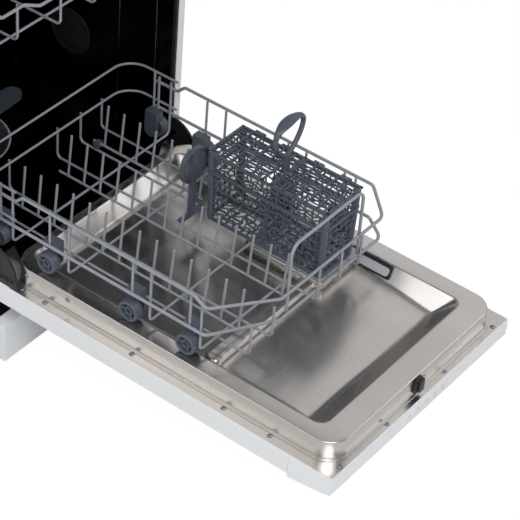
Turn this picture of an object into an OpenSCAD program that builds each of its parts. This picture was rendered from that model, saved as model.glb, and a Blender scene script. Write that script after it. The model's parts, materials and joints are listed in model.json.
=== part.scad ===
// Slimline dishwasher, 448 mm wide, with its door fully open and its lower rack drawn out.
// X runs across the machine, Y from the open door into the cabinet, Z up from the floor.

/* [Cabinet] */
// Width of the cabinet and door
cab_w = 448; // [440:1:470]
// Depth of the cabinet behind its front plane
cab_d = 570; // [566:1:620]
// Height from the floor to the top of the cover
cab_h = 850; // [846:1:880]
// Sheet thickness of the painted side panels
panel_t = 1; // [0.8:0.1:1.5]
// Width of the front flange of a side panel
panel_flange = 14; // [10:1:14]
// Thickness of the top cover
top_t = 24; // [18:1:26]
// Overhang of the top cover above the closed door
top_nose = 38; // [36:1:45]
// Height of the base tray
base_h = 46; // [40:1:50]
// Wall thickness of the base tray
base_t = 3; // [2:0.5:5]
// Height of the kick panel
kick_h = 71; // [60:1:75]
// Distance of the kick panel in front of the cabinet
kick_out = 22; // [18:1:26]
// Gap between the kick panel and the floor
kick_gap = 4; // [2:1:8]
// Height of a foot under the base tray
foot_h = 14; // [10:1:20]
// Diameter of a foot
foot_d = 36; // [28:1:44]

/* [Door] */
// Reach of the open door in front of the cabinet
door_reach = 640; // [636:1:660]
// Height of the open door's rim above the floor
rim_z = 172; // [168:1:176]
// Thickness of the door below its rim
door_t = 36; // [32:1:38]
// Width of the painted rim around the liner
rim_w = 4; // [3:0.5:6]
// Length of the control fascia
fascia_l = 74; // [60:1:90]
// Thickness of the fascia at its seam
fascia_t = 42; // [38:1:44]
// Thickness of the fascia at the free end
fascia_end_t = 32; // [28:1:36]
// Distance of the hinge axis behind the cabinet front
hinge_in = 5; // [3:0.5:8]
// Height of the hinge axis above the open rim
hinge_up = 6.5; // [5:0.5:8]
// Length of the door panel behind the hinge axis
door_tail = 88; // [70:1:92]
// Radius of the splash shields beside the hinges
shield_r = 52; // [48:1:54]
// Thickness of a splash shield
shield_t = 3.4; // [2.8:0.2:4]

/* [Liner] */
// Sheet thickness of the stainless liner
liner_t = 0.8; // [0.6:0.1:1.2]
// Height of the raised ring above the rim
ring_h = 35; // [30:1:38]
// Gap between the raised ring and each wall of the tub
ring_gap = 5; // [4:0.5:9]
// Distance of the ring from the free end
ring_start = 13; // [10:0.5:20]
// Corner radius of the ring
ring_r = 36; // [25:1:50]
// Width of the flat track on top of the ring
track_w = 28; // [24:1:32]
// Width of the flat at the free end of the ring
ring_flat = 36; // [28:1:44]
// Depth of the inner field below the tracks
field_drop = 12; // [8:1:16]
// Height of the front basin floor above the rim
basin_floor = 5; // [3:1:9]
// Distance of the cross ridge from the free end
ridge_at = 250; // [240:1:262]
// Width of the cross ridge
ridge_w = 24; // [18:1:32]
// Height of the rear basin floor above the rim
rear_floor = 10; // [6:1:14]
// Gap between the liner's end and the hinge axis
liner_gap = 33; // [33:0.5:36]

/* [Tub] */
// Space between the tub and each side of the cabinet
tub_gap = 15; // [12:0.5:16]
// Inner depth of the tub
tub_d = 550; // [549:0.5:552]
// Gap between the tub ceiling and the top cover
tub_top_gap = 11; // [8:0.5:14]
// Sheet thickness of the tub
tub_t = 1.2; // [1:0.1:1.4]
// Corner radius of the tub ceiling
tub_r = 30; // [20:1:40]
// Depth of the tub floor below its tracks
tub_sink = 42; // [38:1:44]
// Width of a track in the tub
tub_track = 36; // [34:1:40]
// Radius of the round vent cap
vent_r = 42; // [34:1:46]
// Radius of the sump opening
sump_r = 86; // [80:1:92]
// Depth of the sump bowl
sump_d = 58; // [50:1:66]

/* [Lower rack] */
// Distance from the door's free end to the front wires
rack_front = 217; // [212:0.5:222]
// Length of the lower rack
rack_l = 500; // [495:0.5:501]
// Gap between the rails and each wall of the tub
rack_gap = 22; // [21:0.5:24]
// Radius of the rail wires
rail_r = 2.5; // [2:0.1:3]
// Radius of the thin wires
wire_r = 2; // [1.6:0.1:2.4]
// Height of the top rail above the open rim
rail_z = 148; // [140:1:160]
// Height of the lower rail above the open rim
low_rail_z = 86; // [82:1:90]
// Height of the front wire above the open rim
front_z = 100; // [96:1:104]
// Height of the floor wires above the tracks
floor_up = 14; // [12:0.5:17]
// Height of the handle wire above the open rim
handle_z = 180; // [170:1:190]
// Radius of a rack wheel
wheel_r = 17.5; // [16:0.5:18]
// Width of a rack wheel
wheel_w = 16; // [12:1:18]
// Radius of a wheel pin
pin_r = 4; // [3:0.5:5]
// Height of the plate tines
tine_h = 80; // [60:1:90]
// Distance between plate tines
tine_pitch = 32; // [26:1:36]

/* [Basket] */
// Width of the cutlery basket
basket_w = 86; // [80:1:88]
// Length of the cutlery basket
basket_l = 222; // [200:1:226]
// Height of the cutlery basket
basket_h = 126; // [110:1:130]
// Wall thickness of the basket
basket_t = 2.4; // [2:0.2:3]
// Height of the handle loop above the lid
loop_h = 78; // [66:1:90]
// Width of the handle loop
loop_w = 74; // [60:1:80]

/* [Upper rack] */
// Distance of the drawn upper rack from its home place
upper_out = 52; // [50:1:60]
// Height of the upper rack's rail above the open rim
upper_z = 470; // [460:1:480]
// Height of the upper rack's front wire above the open rim
upper_front_z = 440; // [434:1:444]
// Height of the upper rack's floor above the open rim
upper_floor = 378; // [374:1:384]
// Length of the upper rack
upper_l = 490; // [470:1:492]
// Radius of an upper roller
roller_r = 9; // [8:0.5:10]

/* [Arms and dispenser] */
// Length of the lower spray arm
arm_l = 290; // [240:2:300]
// Length of the upper spray arm
upper_arm_l = 330; // [280:2:340]
// Width of a spray arm
arm_w = 46; // [36:1:52]
// Length of the detergent dispenser
disp_l = 160; // [150:1:165]
// Width of the detergent dispenser
disp_w = 128; // [110:1:132]

/* [Hidden] */
$fn = 48;

// Overrun of every cut past the face that it leaves
over = 1;
// Running clearance between parts that slide or roll past each other
slack = 0.3;
// Half the width and the ends of the machine
half_w = cab_w / 2;
end_y = -(door_reach + cab_d) / 2;
front_y = end_y + door_reach;
back_y = front_y + cab_d;
// Hinge axis of the door
hinge_y = front_y + hinge_in;
hinge_z = rim_z + hinge_up;
// Level of the tracks on the ring and in the tub
track_z = rim_z + ring_h;
// Painted and bare colours
white = [0.93, 0.94, 0.95];
steel = [0.70, 0.67, 0.64];
dark_steel = [0.16, 0.16, 0.17];
wire_grey = [0.66, 0.68, 0.71];
slate = [0.33, 0.36, 0.42];
black = [0.05, 0.05, 0.06];
grey = [0.55, 0.57, 0.60];

function unit(v) = v / norm(v);
function turn(a, b, c) = acos(max(-1, min(1, unit(b - a) * unit(c - b))));
function setback(a, b, c, bend_r) = bend_r * tan(turn(a, b, c) / 2);

// A round disc or post of radius r and height h
module disc(r, h) {
  cylinder(h = h, r = r);
}

// A straight round rod from one point to another
module rod(a, b, r) {
  d = b - a;
  translate(a)
    rotate([0, acos(d.z / norm(d)), atan2(d.y, d.x)])
      disc(r, norm(d));
}

// Thickening of a bend, which swallows the ends of the straight runs
bend_collar = 0.05;
bend_lap = 0.2;

// A round bend at point b of the run a, b, c
module elbow(a, b, c, bend_r, r) {
  t = setback(a, b, c, bend_r);
  u = unit(b - a);
  n = unit(cross(u, unit(c - b)));
  side = cross(n, u);
  centre = b - u * t + side * bend_r;
  multmatrix([[-side.x, u.x, n.x, centre.x],
        [-side.y, u.y, n.y, centre.y],
        [-side.z, u.z, n.z, centre.z],
        [0, 0, 0, 1]])
    rotate_extrude(angle = turn(a, b, c))
      translate([bend_r, 0])
        circle(r + bend_collar);
}

// A wire through the points, with a round bend at each inner point
module bent_wire(points, bend_r, r) {
  last = len(points) - 1;
  for (i = [0 : last - 1]) {
    a = points[i];
    b = points[i + 1];
    u = unit(b - a);
    from = i == 0 ? a : a + u * (setback(points[i - 1], a, b, bend_r) - bend_lap);
    to = i == last - 1 ? b : b - u * (setback(a, b, points[i + 2], bend_r) - bend_lap);
    rod(from, to, r);
  }
  for (i = [1 : 1 : last - 1])
    elbow(points[i - 1], points[i], points[i + 1], bend_r, r);
}

// The children moved to a place
module at(x, y, z) {
  translate([x, y, z])
    children();
}

// A copy of the children and its mirror image across the middle plane
module both_sides() {
  children();
  mirror([1, 0, 0])
    children();
}

// A block between two opposite corners
module span(low, high) {
  translate(low)
    cube(high - low);
}

// A rectangle with round corners, drawn from its lower left corner
module round_rect(w, h, r) {
  translate([r, 0])
    square([w - r * 2, h]);
  translate([0, r])
    square([w, h - r * 2]);
  for (x = [r, w - r], y = [r, h - r])
    translate([x, y])
      circle(r);
}

// A flat plate with round corners, from its low corner
module round_plate(low, w, l, h, r) {
  translate(low)
    linear_extrude(h)
      round_rect(w, l, r);
}

// An outline in depth and height, drawn out across the machine from x
module across(x, w) {
  at(x, 0, 0)
    rotate([90, 0, 90])
      linear_extrude(w)
        children();
}

// An outline in width and height, drawn out along the depth from y
module along(y, l) {
  at(0, y + l, 0)
    rotate([90, 0, 0])
      linear_extrude(l)
        children();
}

// Gap that the tail of the closing door keeps from the side panels
notch_gap = 8;
notch_r = norm([door_tail, hinge_up + door_t]) + notch_gap;
notch_top = rim_z - door_t + notch_gap;
panel_top = cab_h - top_t;
screw_r = 2.2;

module side_panel() {
  color(white) {
    across(half_w - panel_t, panel_t)
      difference() {
        translate([front_y, foot_h])
          square([cab_d, panel_top - foot_h]);
        intersection() {
          translate([hinge_y, hinge_z])
            circle(notch_r, $fn = 96);
          translate([front_y - over, foot_h])
            square([notch_r * 2, notch_top - foot_h]);
        }
        for (z = [rim_z + base_h, cab_h / 2, panel_top - base_h])
          translate([back_y - panel_flange / 2, z])
            circle(screw_r);
      }
    span([half_w - panel_flange, front_y, hinge_z + shield_r],
      [half_w - panel_t, front_y + panel_t, panel_top]);
  }
}

module side_panel_right() {
  side_panel();
}

module side_panel_left() {
  mirror([1, 0, 0])
    side_panel();
}

module top_cover() {
  nose_r = top_t / 2;
  nose_y = front_y - top_nose + nose_r;
  lip = top_t / 4;
  color(white)
    difference() {
      across(-half_w, cab_w) {
        translate([nose_y, panel_top])
          square([back_y - nose_y, top_t]);
        translate([nose_y, panel_top + nose_r])
          circle(nose_r);
      }
      span([-half_w + panel_flange, front_y + panel_flange, panel_top - over],
        [half_w - panel_flange, back_y - panel_flange, cab_h - lip]);
    }
}

// Thickness of the back panel and places of its openings
back_t = 0.8;
inlet_in = 74;
inlet_x = half_w - inlet_in;
inlet_z = 92;
drain_x = -inlet_x;
drain_z = 88;
gland_x = 0;
hose_hole_r = 26;
gland_r = 9;
swage_w = 14;
swage_d = 3;

module back_panel() {
  color(white)
    difference() {
      union() {
        span([-half_w + panel_t, back_y - back_t, foot_h + base_h],
          [half_w - panel_t, back_y, panel_top]);
        for (z = [cab_h * 0.35, cab_h * 0.55, cab_h * 0.75])
          span([-half_w / 1.3, back_y - swage_d, z],
            [half_w / 1.3, back_y - back_t / 2, z + swage_w]);
      }
      for (p = [[inlet_x, inlet_z], [drain_x, drain_z]])
        at(p.x, back_y - swage_d - over, p.y)
          rotate([-90, 0, 0])
            disc(hose_hole_r, swage_d + over * 2);
      at(gland_x, back_y - swage_d - over, inlet_z)
        rotate([-90, 0, 0])
          disc(gland_r, swage_d + over * 2);
    }
}

// Places of the feet, and the bosses that hold their stems
foot_in = 34;
foot_places = [for (x = [-half_w + foot_in, half_w - foot_in],
          y = [front_y + foot_in, back_y - foot_in]) [x, y]];
stem_r = 4;
boss_r = 10;
pad_h = 8;

module base_tray() {
  top = foot_h + base_h;
  color(grey)
    difference() {
      union() {
        difference() {
          span([-half_w + panel_t, front_y, foot_h],
            [half_w - panel_t, back_y - back_t, top]);
          span([-half_w + panel_t + base_t, front_y + base_t, foot_h + base_t],
            [half_w - panel_t - base_t, back_y - back_t - base_t, top + over]);
        }
        for (y = [front_y + cab_d * 0.25, front_y + cab_d * 0.5, front_y + cab_d * 0.75])
          span([-half_w + panel_t, y, foot_h],
            [half_w - panel_t, y + base_t, foot_h + base_h / 3]);
        for (p = foot_places)
          at(p.x, p.y, foot_h)
            disc(boss_r, base_h * 0.7);
      }
      for (p = foot_places)
        at(p.x, p.y, foot_h - over)
          disc(stem_r + slack, base_h);
    }
}

module levelling_feet() {
  color(black)
    for (p = foot_places)
      at(p.x, p.y, 0) {
        cylinder(h = pad_h, r1 = foot_d / 2, r2 = foot_d / 2.4);
        disc(boss_r * 0.8, foot_h, $fn = 6);
        disc(stem_r, foot_h + base_h * 0.7);
      }
}

kick_t = 1.2;

module kick_panel() {
  w = half_w - kick_t * 10;
  color(white)
    difference() {
      span([-w, front_y - kick_out, kick_gap], [w, front_y, kick_gap + kick_h]);
      span([-w + kick_t, front_y - kick_out + kick_t, kick_gap - over],
        [w - kick_t, front_y + over, kick_gap + kick_h - kick_t]);
      for (x = [-w * 0.7, w * 0.7])
        at(x, front_y - kick_out - over, kick_gap + kick_h * 0.7)
          rotate([-90, 0, 0])
            disc(screw_r, kick_t + over * 2);
    }
}

// Inner faces of the tub
tub_half = half_w - tub_gap;
tub_w = tub_half * 2;
tub_ceiling = panel_top - tub_top_gap;
tub_back = front_y + tub_d;
basin_z = track_z - tub_sink;
bead_r = 2.5;
bead_up = 20;
bead_shares = [0.078, 0.215, 0.62, 0.855];
lock_w = 56;
// Places of the rollers that carry the upper rack
roller_z = rim_z + upper_floor + roller_r * 3.5;
roller_first = 72;
roller_second = 132;
roller_places = [front_y + roller_first, front_y + roller_second];
roller_w = 8;
roller_pin_r = 3;

module tub_outline(grow) {
  w = tub_half + grow;
  difference() {
    translate([-w, track_z - tub_r * 3])
      round_rect(w * 2, tub_ceiling + grow - track_z + tub_r * 3, tub_r + grow);
    translate([-w - over, track_z - tub_r * 3 - over])
      square([w * 2 + over * 2, tub_r * 3 + over]);
  }
}

module tub_wrapper() {
  color(dark_steel)
    difference() {
      union() {
        along(front_y + panel_t, tub_d - panel_t)
          difference() {
            tub_outline(tub_t);
            tub_outline(0);
            translate([-tub_half, track_z - over])
              square([tub_w, over * 2]);
          }
        for (x = [-tub_half, tub_half], i = bead_shares)
          at(x, front_y + i * tub_d, track_z + bead_up)
            disc(bead_r, tub_ceiling - tub_r - track_z - bead_up);
        for (s = [-1, 1], y = roller_places)
          rod([s * (tub_half + tub_t / 2), y, roller_z],
            [s * (tub_half - roller_w * 1.6), y, roller_z], roller_pin_r);
      }
      span([-lock_w / 2, front_y + base_t, tub_ceiling - over],
        [lock_w / 2, front_y + hinge_in + catch_h, tub_ceiling + tub_t + over]);
    }
}

// Place of the dock that feeds the upper arm
dock_drop = 12;
dock_z = rim_z + upper_floor - dock_drop;
dock_r = 11;

module tub_back_wall() {
  color(dark_steel)
    difference() {
      union() {
        along(tub_back, tub_t)
          tub_outline(tub_t);
        span([-tub_half, tub_back, basin_z - tub_t], [tub_half, tub_back + tub_t, track_z]);
        for (z = [rim_z * 2, rim_z * 3])
          rod([-tub_half / 1.5, tub_back + tub_t, z], [tub_half / 1.5, tub_back + tub_t, z],
            bead_r);
      }
      at(0, tub_back - over - bead_r, dock_z)
        rotate([-90, 0, 0])
          disc(dock_r + slack, tub_t + over * 2 + bead_r * 2);
    }
}

// Places on the tub floor
sump_at = 275;
sump_y = front_y + sump_at;
floor_lap = 13;
floor_front = hinge_y - floor_lap;
floor_slope = 15;
basin_half = tub_half - tub_track - floor_slope;
softener_in = 104;
softener_x = softener_in - tub_half;
softener_at = 446;
softener_y = front_y + softener_at;
neck_r = 30;

module floor_outline() {
  t = tub_t;
  track_in = tub_half - tub_track;
  polygon([[-tub_half, track_z], [-track_in, track_z], [-basin_half, basin_z],
      [basin_half, basin_z], [track_in, track_z], [tub_half, track_z],
      [tub_half, track_z - t], [track_in + t / 2, track_z - t],
      [basin_half + t / 2, basin_z - t], [-basin_half - t / 2, basin_z - t],
      [-track_in - t / 2, track_z - t], [-tub_half, track_z - t]]);
}

module tub_floor() {
  color(dark_steel)
    difference() {
      union() {
        along(floor_front, tub_back - floor_front)
          floor_outline();
        along(floor_front, tub_t)
          polygon([[-tub_half + tub_track, track_z], [-basin_half, basin_z],
              [basin_half, basin_z], [tub_half - tub_track, track_z]]);
      }
      at(0, sump_y, basin_z - tub_t - over)
        disc(sump_r, tub_t + over * 2, $fn = 96);
      at(softener_x, softener_y, basin_z - tub_t - over)
        disc(neck_r + slack, tub_t + over * 2);
    }
}

gasket_t = 3.6;
gasket_l = 6;

module tub_gasket() {
  color(black)
    along(front_y + panel_t, gasket_l)
      difference() {
        tub_outline(-slack / 3);
        tub_outline(-slack / 3 - gasket_t);
        translate([-tub_half + gasket_t * 2, track_z - over])
          square([tub_w - gasket_t * 4, over * 2]);
      }
}

// Place of the round cap on the right wall of the tub
vent_at = 219;
vent_up = 125;
vent_y = front_y + vent_at;
vent_z = rim_z + vent_up;
vent_t = 4;

module vent_cap() {
  color(slate)
    at(tub_half - vent_t - slack / 3, vent_y, vent_z)
      rotate([0, 90, 0])
        difference() {
          disc(vent_r, vent_t, $fn = 64);
          for (i = [0 : 11])
            rotate(i * 30)
              at(vent_r * 0.45, -vent_t / 4, -over)
                cube([vent_r * 0.42, vent_t / 2, vent_t / 2 + over]);
          at(0, 0, -over)
            disc(vent_r * 0.3, vent_t / 2 + over);
        }
}

// Parts of the sump
bowl_t = 3;
bowl_r = sump_r - slack - bowl_t;
hub_r = 11;
hub_up = 14;
hub_top = basin_z + hub_up;
arm_pin_r = 5;
filter_r = 26;
filter_x = -48;
filter_off = 22;
filter_y = sump_y - filter_off;
filter_deep = 46;
plate_t = 2;
spigot_r = 14;
spigot_z = basin_z - sump_d * 0.66;

module sump_housing() {
  low = basin_z - sump_d;
  color(grey) {
    difference() {
      union() {
        at(0, sump_y, low)
          disc(bowl_r + bowl_t, sump_d, $fn = 96);
        at(0, sump_y, basin_z - tub_t - bowl_t)
          disc(sump_r + bowl_t * 2, bowl_t, $fn = 96);
        rod([bowl_r, sump_y, spigot_z], [bowl_r + spigot_r, sump_y, spigot_z], spigot_r);
        rod([-bowl_r, sump_y, spigot_z], [-bowl_r - spigot_r, sump_y, spigot_z], spigot_r);
      }
      at(0, sump_y, low + bowl_t)
        disc(bowl_r - bowl_t, sump_d, $fn = 96);
      at(0, sump_y, basin_z - plate_t)
        disc(bowl_r, sump_d, $fn = 96);
      for (s = [-1, 1])
        rod([s * (bowl_r - bowl_t * 2), sump_y, spigot_z],
          [s * (bowl_r + spigot_r + over), sump_y, spigot_z], spigot_r - bowl_t);
    }
    at(0, sump_y, low)
      disc(hub_r, hub_top - low);
    at(0, sump_y, low)
      disc(arm_pin_r, hub_top + arm_pin_r * 4 - low);
  }
}

module filter_plate() {
  color(steel)
    difference() {
      at(0, sump_y, basin_z - plate_t)
        disc(bowl_r - slack, plate_t, $fn = 96);
      at(0, sump_y, basin_z - plate_t - over)
        disc(hub_r + slack, plate_t + over * 2);
      at(filter_x, filter_y, basin_z - plate_t - over)
        disc(filter_r + slack, plate_t + over * 2);
      for (i = [0 : 8])
        at(0, sump_y, basin_z - plate_t - over)
          rotate(i * 20 - 70)
            at(hub_r * 2.2, -plate_t, 0)
              cube([bowl_r * 0.6, plate_t * 2, plate_t + over * 2]);
    }
}

module filter_cylinder() {
  color(slate)
    at(filter_x, filter_y, basin_z) {
      difference() {
        union() {
          at(0, 0, -filter_deep)
            disc(filter_r, filter_deep);
          at(0, 0, slack)
            disc(filter_r + plate_t * 2, plate_t);
          disc(filter_r, plate_t);
        }
        at(0, 0, plate_t - filter_deep)
          disc(filter_r - plate_t, filter_deep + over * 3);
        for (i = [0 : 3])
          rotate(i * 90 + 45)
            at(0, -filter_r / 2, plate_t * 3 - filter_deep)
              cube([filter_r * 2, filter_r, filter_deep - plate_t * 7]);
      }
      at(-filter_r + plate_t / 2, -plate_t, slack)
        cube([filter_r * 2 - plate_t, plate_t * 2, filter_r / 3]);
    }
}

pump_in = 77;
pump_x = tub_half - pump_in;
motor_r = 33;
motor_l = 110;

module circulation_pump() {
  start = sump_y + spigot_r * 2;
  color(black) {
    rod([pump_x, start, spigot_z], [pump_x, start + motor_l, spigot_z], motor_r);
    rod([pump_x, start + motor_l * 0.3, spigot_z], [pump_x, start + motor_l * 0.4, spigot_z],
      motor_r + bowl_t);
    rod([pump_x, start + motor_l - over, spigot_z],
      [pump_x, start + motor_l + motor_r / 2, spigot_z], motor_r * 0.5);
  }
  color(slate)
    difference() {
      union() {
        rod([pump_x, sump_y, spigot_z], [pump_x, start + over, spigot_z],
          spigot_r + bowl_t + over);
        rod([bowl_r + spigot_r / 2, sump_y, spigot_z], [pump_x, sump_y, spigot_z],
          spigot_r + bowl_t);
        at(pump_x, sump_y, spigot_z)
          sphere(r = spigot_r + bowl_t * 2);
      }
      rod([bowl_r, sump_y, spigot_z], [bowl_r + spigot_r + slack, sump_y, spigot_z],
        spigot_r + slack / 3);
    }
}

drain_r = 10;

module drain_pump() {
  x = -bowl_r - spigot_r;
  color(black)
    difference() {
      union() {
        rod([x - spigot_r * 4, sump_y, spigot_z], [x + spigot_r / 2, sump_y, spigot_z],
          spigot_r + bowl_t * 2);
        rod([x - spigot_r * 2, sump_y + spigot_r, spigot_z],
          [x - spigot_r * 2, sump_y + spigot_r * 3, spigot_z], drain_r);
      }
      rod([x - slack, sump_y, spigot_z], [x + spigot_r, sump_y, spigot_z],
        spigot_r + slack / 3);
    }
  color(grey)
    bent_wire([[x - spigot_r * 2, sump_y + spigot_r * 3, spigot_z],
               [x - spigot_r * 2, sump_y + spigot_r * 5, spigot_z],
               [drain_x, softener_y - neck_r * 1.5 - drain_r * 2, drain_z],
               [drain_x, back_y - back_t, drain_z]], drain_r * 1.5, drain_r);
}

module water_softener() {
  top = basin_z - tub_t - bowl_t;
  color(grey)
    difference() {
      union() {
        span([softener_x - neck_r * 1.4, softener_y - neck_r * 1.5, top - neck_r * 2],
          [softener_x + neck_r * 1.4, softener_y + neck_r * 1.4, top - bowl_t]);
        at(softener_x, softener_y, top - bowl_t * 2)
          disc(neck_r, basin_z + bowl_t - top + bowl_t * 2);
        at(softener_x, softener_y, top - bowl_t)
          disc(neck_r + bowl_t * 2, bowl_t + bowl_t - bowl_t);
      }
      at(softener_x, softener_y, top - neck_r)
        disc(neck_r - bowl_t * 1.5, neck_r * 2);
    }
}

module salt_cap() {
  low = basin_z + bowl_t + slack / 3;
  color(slate)
    at(softener_x, softener_y, low) {
      disc(neck_r + bowl_t / 2, bowl_t);
      at(0, 0, -neck_r * 0.4)
        disc(neck_r - bowl_t * 1.5 - slack / 4, neck_r * 0.4 + over);
      at(-neck_r + bowl_t, -bowl_t, 0)
        cube([neck_r * 2 - bowl_t * 2, bowl_t * 2, bowl_t * 3]);
    }
}

// Water inlet with its three-quarter inch thread
thread_r = 13.2;
thread_l = 22;

module inlet_valve() {
  color(white) {
    span([inlet_x - thread_r * 1.5, back_y - back_t - thread_l - thread_r * 3, foot_h + base_t + slack],
      [inlet_x + thread_r * 1.5, back_y - back_t - thread_l, inlet_z + thread_r * 1.5]);
    difference() {
      rod([inlet_x, back_y - back_t - thread_l - over, inlet_z],
        [inlet_x, back_y - back_t, inlet_z], thread_r);
      rod([inlet_x, back_y - thread_l, inlet_z], [inlet_x, back_y + over, inlet_z],
        thread_r * 0.6);
    }
  }
}

pipe_r = 6;

module feed_pipe() {
  pipe_y = tub_back + tub_t + bead_r + pipe_r + slack;
  color(grey) {
    bent_wire([[0, sump_y + bowl_r + bowl_t, spigot_z], [0, pipe_y, spigot_z],
         [0, pipe_y, dock_z]], pipe_r * 3, pipe_r);
    difference() {
      rod([0, tub_back - roller_w / 2, dock_z], [0, pipe_y + pipe_r, dock_z], dock_r);
      rod([0, tub_back - roller_w, dock_z], [0, pipe_y - pipe_r / 2, dock_z], dock_r * 0.7);
    }
  }
}

// Height of the top of the closed door's catch above the rim, and its width
catch_h = 45;
catch_w = 24;
catch_lap = 5;
// Claw of the lock and its pin, above the tub ceiling
lock_back = 62;
lock_h = 9;
claw_pin_r = 2;
claw_w = 8;
claw_gap = 0.05;
lock_low = tub_ceiling + tub_t + slack;
lock_y = front_y + lock_back;
claw_l = 42;

module lock_housing() {
  color(black) {
    difference() {
      span([-lock_w / 2 - lock_h, lock_y - lock_h, lock_low],
        [lock_w / 2 + lock_h, lock_y + lock_back / 2, lock_low + lock_h]);
      span([-claw_w / 2 - slack, lock_y - lock_h - over, lock_low - over],
        [claw_w / 2 + slack, lock_y + lock_h, lock_low + lock_h + over]);
    }
    rod([-claw_w / 2 - slack * 2, lock_y, lock_low + lock_h / 2],
      [claw_w / 2 + slack * 2, lock_y, lock_low + lock_h / 2], claw_pin_r);
  }
}

module lock_claw() {
  mid = lock_low + lock_h / 2;
  color(steel)
    across(-claw_w / 2, claw_w)
      difference() {
        union() {
          translate([lock_y, mid])
            circle(lock_h / 2);
          translate([lock_y - claw_l, mid - lock_h / 6])
            square([claw_l, lock_h / 2 + lock_h / 6]);
          translate([lock_y - claw_l, mid - lock_h / 2])
            square([lock_h / 2, lock_h]);
        }
        translate([lock_y, mid])
          circle(claw_pin_r + claw_gap);
      }
}

// Plates of one hinge, side by side from the tub wall outwards
hinge_gap = 0.3;
shield_x = tub_half + tub_t + hinge_gap;
arm_x = shield_x + shield_t + hinge_gap;
hinge_t = 3;
bracket_x = arm_x + hinge_t + hinge_gap * 1.3;
hinge_pin_r = 5;
hinge_eye_r = 10;
arm_reach = 140;
arm_low = 20;
lever_back = 25;
lever_low = 20;
hook_r = 7;
bracket_back = 104;
bracket_under = 36;
bracket_w = 22;
spring_r = 5;
spring_back = 262;
spring_front = 150;
spring_low = 30;
spring_wire = 1.4;
coils = 20;

module hinge_shield() {
  low = rim_z + slack;
  top = hinge_z + shield_r;
  color(black)
    across(shield_x, shield_t)
      intersection() {
        translate([hinge_y, hinge_z])
          circle(shield_r, $fn = 96);
        polygon([[hinge_y - shield_r, low], [hinge_y, low], [hinge_y + shield_r / 2, top],
                 [hinge_y - shield_r, top]]);
      }
}

module hinge_shields() {
  both_sides()
    hinge_shield();
}

module hinge_arms() {
  top = rim_z - liner_t - slack;
  both_sides()
    color(dark_steel)
      across(arm_x, hinge_t)
        difference() {
          union() {
            translate([hinge_y - arm_reach, top - arm_low])
              square([arm_reach, arm_low]);
            translate([hinge_y, hinge_z])
              circle(hinge_eye_r);
            translate([hinge_y - hinge_eye_r, top - arm_low])
              square([hinge_eye_r * 2, arm_low + hinge_up]);
            translate([hinge_y, hinge_z - lever_low])
              square([lever_back, hook_r]);
            translate([hinge_y + lever_back, hinge_z - lever_low + hook_r / 2])
              circle(hook_r);
          }
          translate([hinge_y, hinge_z])
            circle(hinge_pin_r + slack / 3);
          translate([hinge_y + lever_back, hinge_z - lever_low + hook_r / 2])
            circle(spring_wire + slack);
          for (i = [0.35, 0.6, 0.9])
            translate([hinge_y - arm_reach * i, top - arm_low / 2])
              circle(screw_r);
        }
}

module hinge_brackets() {
  tray_top = foot_h + base_h;
  both_sides()
    color(dark_steel) {
      across(bracket_x, hinge_t) {
        translate([hinge_y, hinge_z])
          circle(hinge_eye_r);
        translate([hinge_y, hinge_z - hinge_eye_r])
          square([bracket_back + bracket_w, hinge_eye_r * 2]);
        translate([hinge_y + bracket_back, tray_top])
          square([bracket_w, hinge_z - tray_top]);
        translate([hinge_y + bracket_back, hinge_z - bracket_under - bracket_w])
          square([spring_back - bracket_back, bracket_w]);
      }
      span([arm_x, hinge_y + spring_back - hinge_t, hinge_z - spring_low - spring_r],
        [bracket_x + hinge_t, hinge_y + spring_back, hinge_z - spring_low + spring_r]);
      rod([arm_x, hinge_y, hinge_z], [bracket_x + hinge_t, hinge_y, hinge_z], hinge_pin_r);
    }
}

module door_springs() {
  x = arm_x + hinge_t / 2;
  low = hinge_z - spring_low;
  hook_y = hinge_y + lever_back + hook_r;
  last = hinge_y + spring_back - hinge_t - slack;
  long = last - hinge_y - spring_front;
  both_sides()
    color(steel) {
      at(x, hinge_y + spring_front, low)
        rotate([-90, 0, 0])
          rotate_extrude() {
            square([spring_r - spring_wire, long]);
            for (i = [0 : coils - 1])
              translate([0, i * long / coils])
                square([spring_r, long / coils * 0.7]);
          }
      bent_wire([[x, hook_y + slack, hinge_z - lever_low + hook_r / 2],
           [x, hook_y + hook_r, hinge_z - lever_low + hook_r / 2],
           [x, hook_y + hook_r * 3, low],
           [x, hinge_y + spring_front + over, low]], hook_r, spring_wire);
    }
}

// Sheet of the door panel
door_sheet = 1;
door_side_end = 4;
tail_lip = 8;
seam_gap = 0.4;
seam_y = end_y + fascia_l;

module door_panel() {
  low = rim_z - door_t;
  tail = hinge_y + door_tail;
  color(white) {
    across(-half_w, cab_w) {
      translate([seam_y + seam_gap, low])
        square([tail - seam_y - seam_gap, door_sheet]);
      translate([tail - door_sheet, low])
        square([door_sheet, tail_lip]);
    }
    both_sides() {
      span([half_w - panel_t, seam_y + seam_gap, low], [half_w, front_y - door_side_end, rim_z]);
      span([half_w - rim_w, seam_y + seam_gap, rim_z - door_sheet],
        [half_w, front_y - door_side_end, rim_z]);
      span([half_w - panel_t, front_y - door_side_end - over, low],
        [half_w, tail, low + tail_lip]);
    }
  }
}

// Wall, edges and mouldings of the fascia
fascia_wall = 2.5;
fascia_edge_r = 3;
fascia_knee = 33;
knee_t = 37;
button_r = 9;
button_side = 74;
button_x = button_side - half_w;
button_in = 20;
button_out = 2.5;
key_low = 24;
key_top = 8;
key_left = -43;
key_right = 62;
key_t = 1.2;
key_r = 3;

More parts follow.
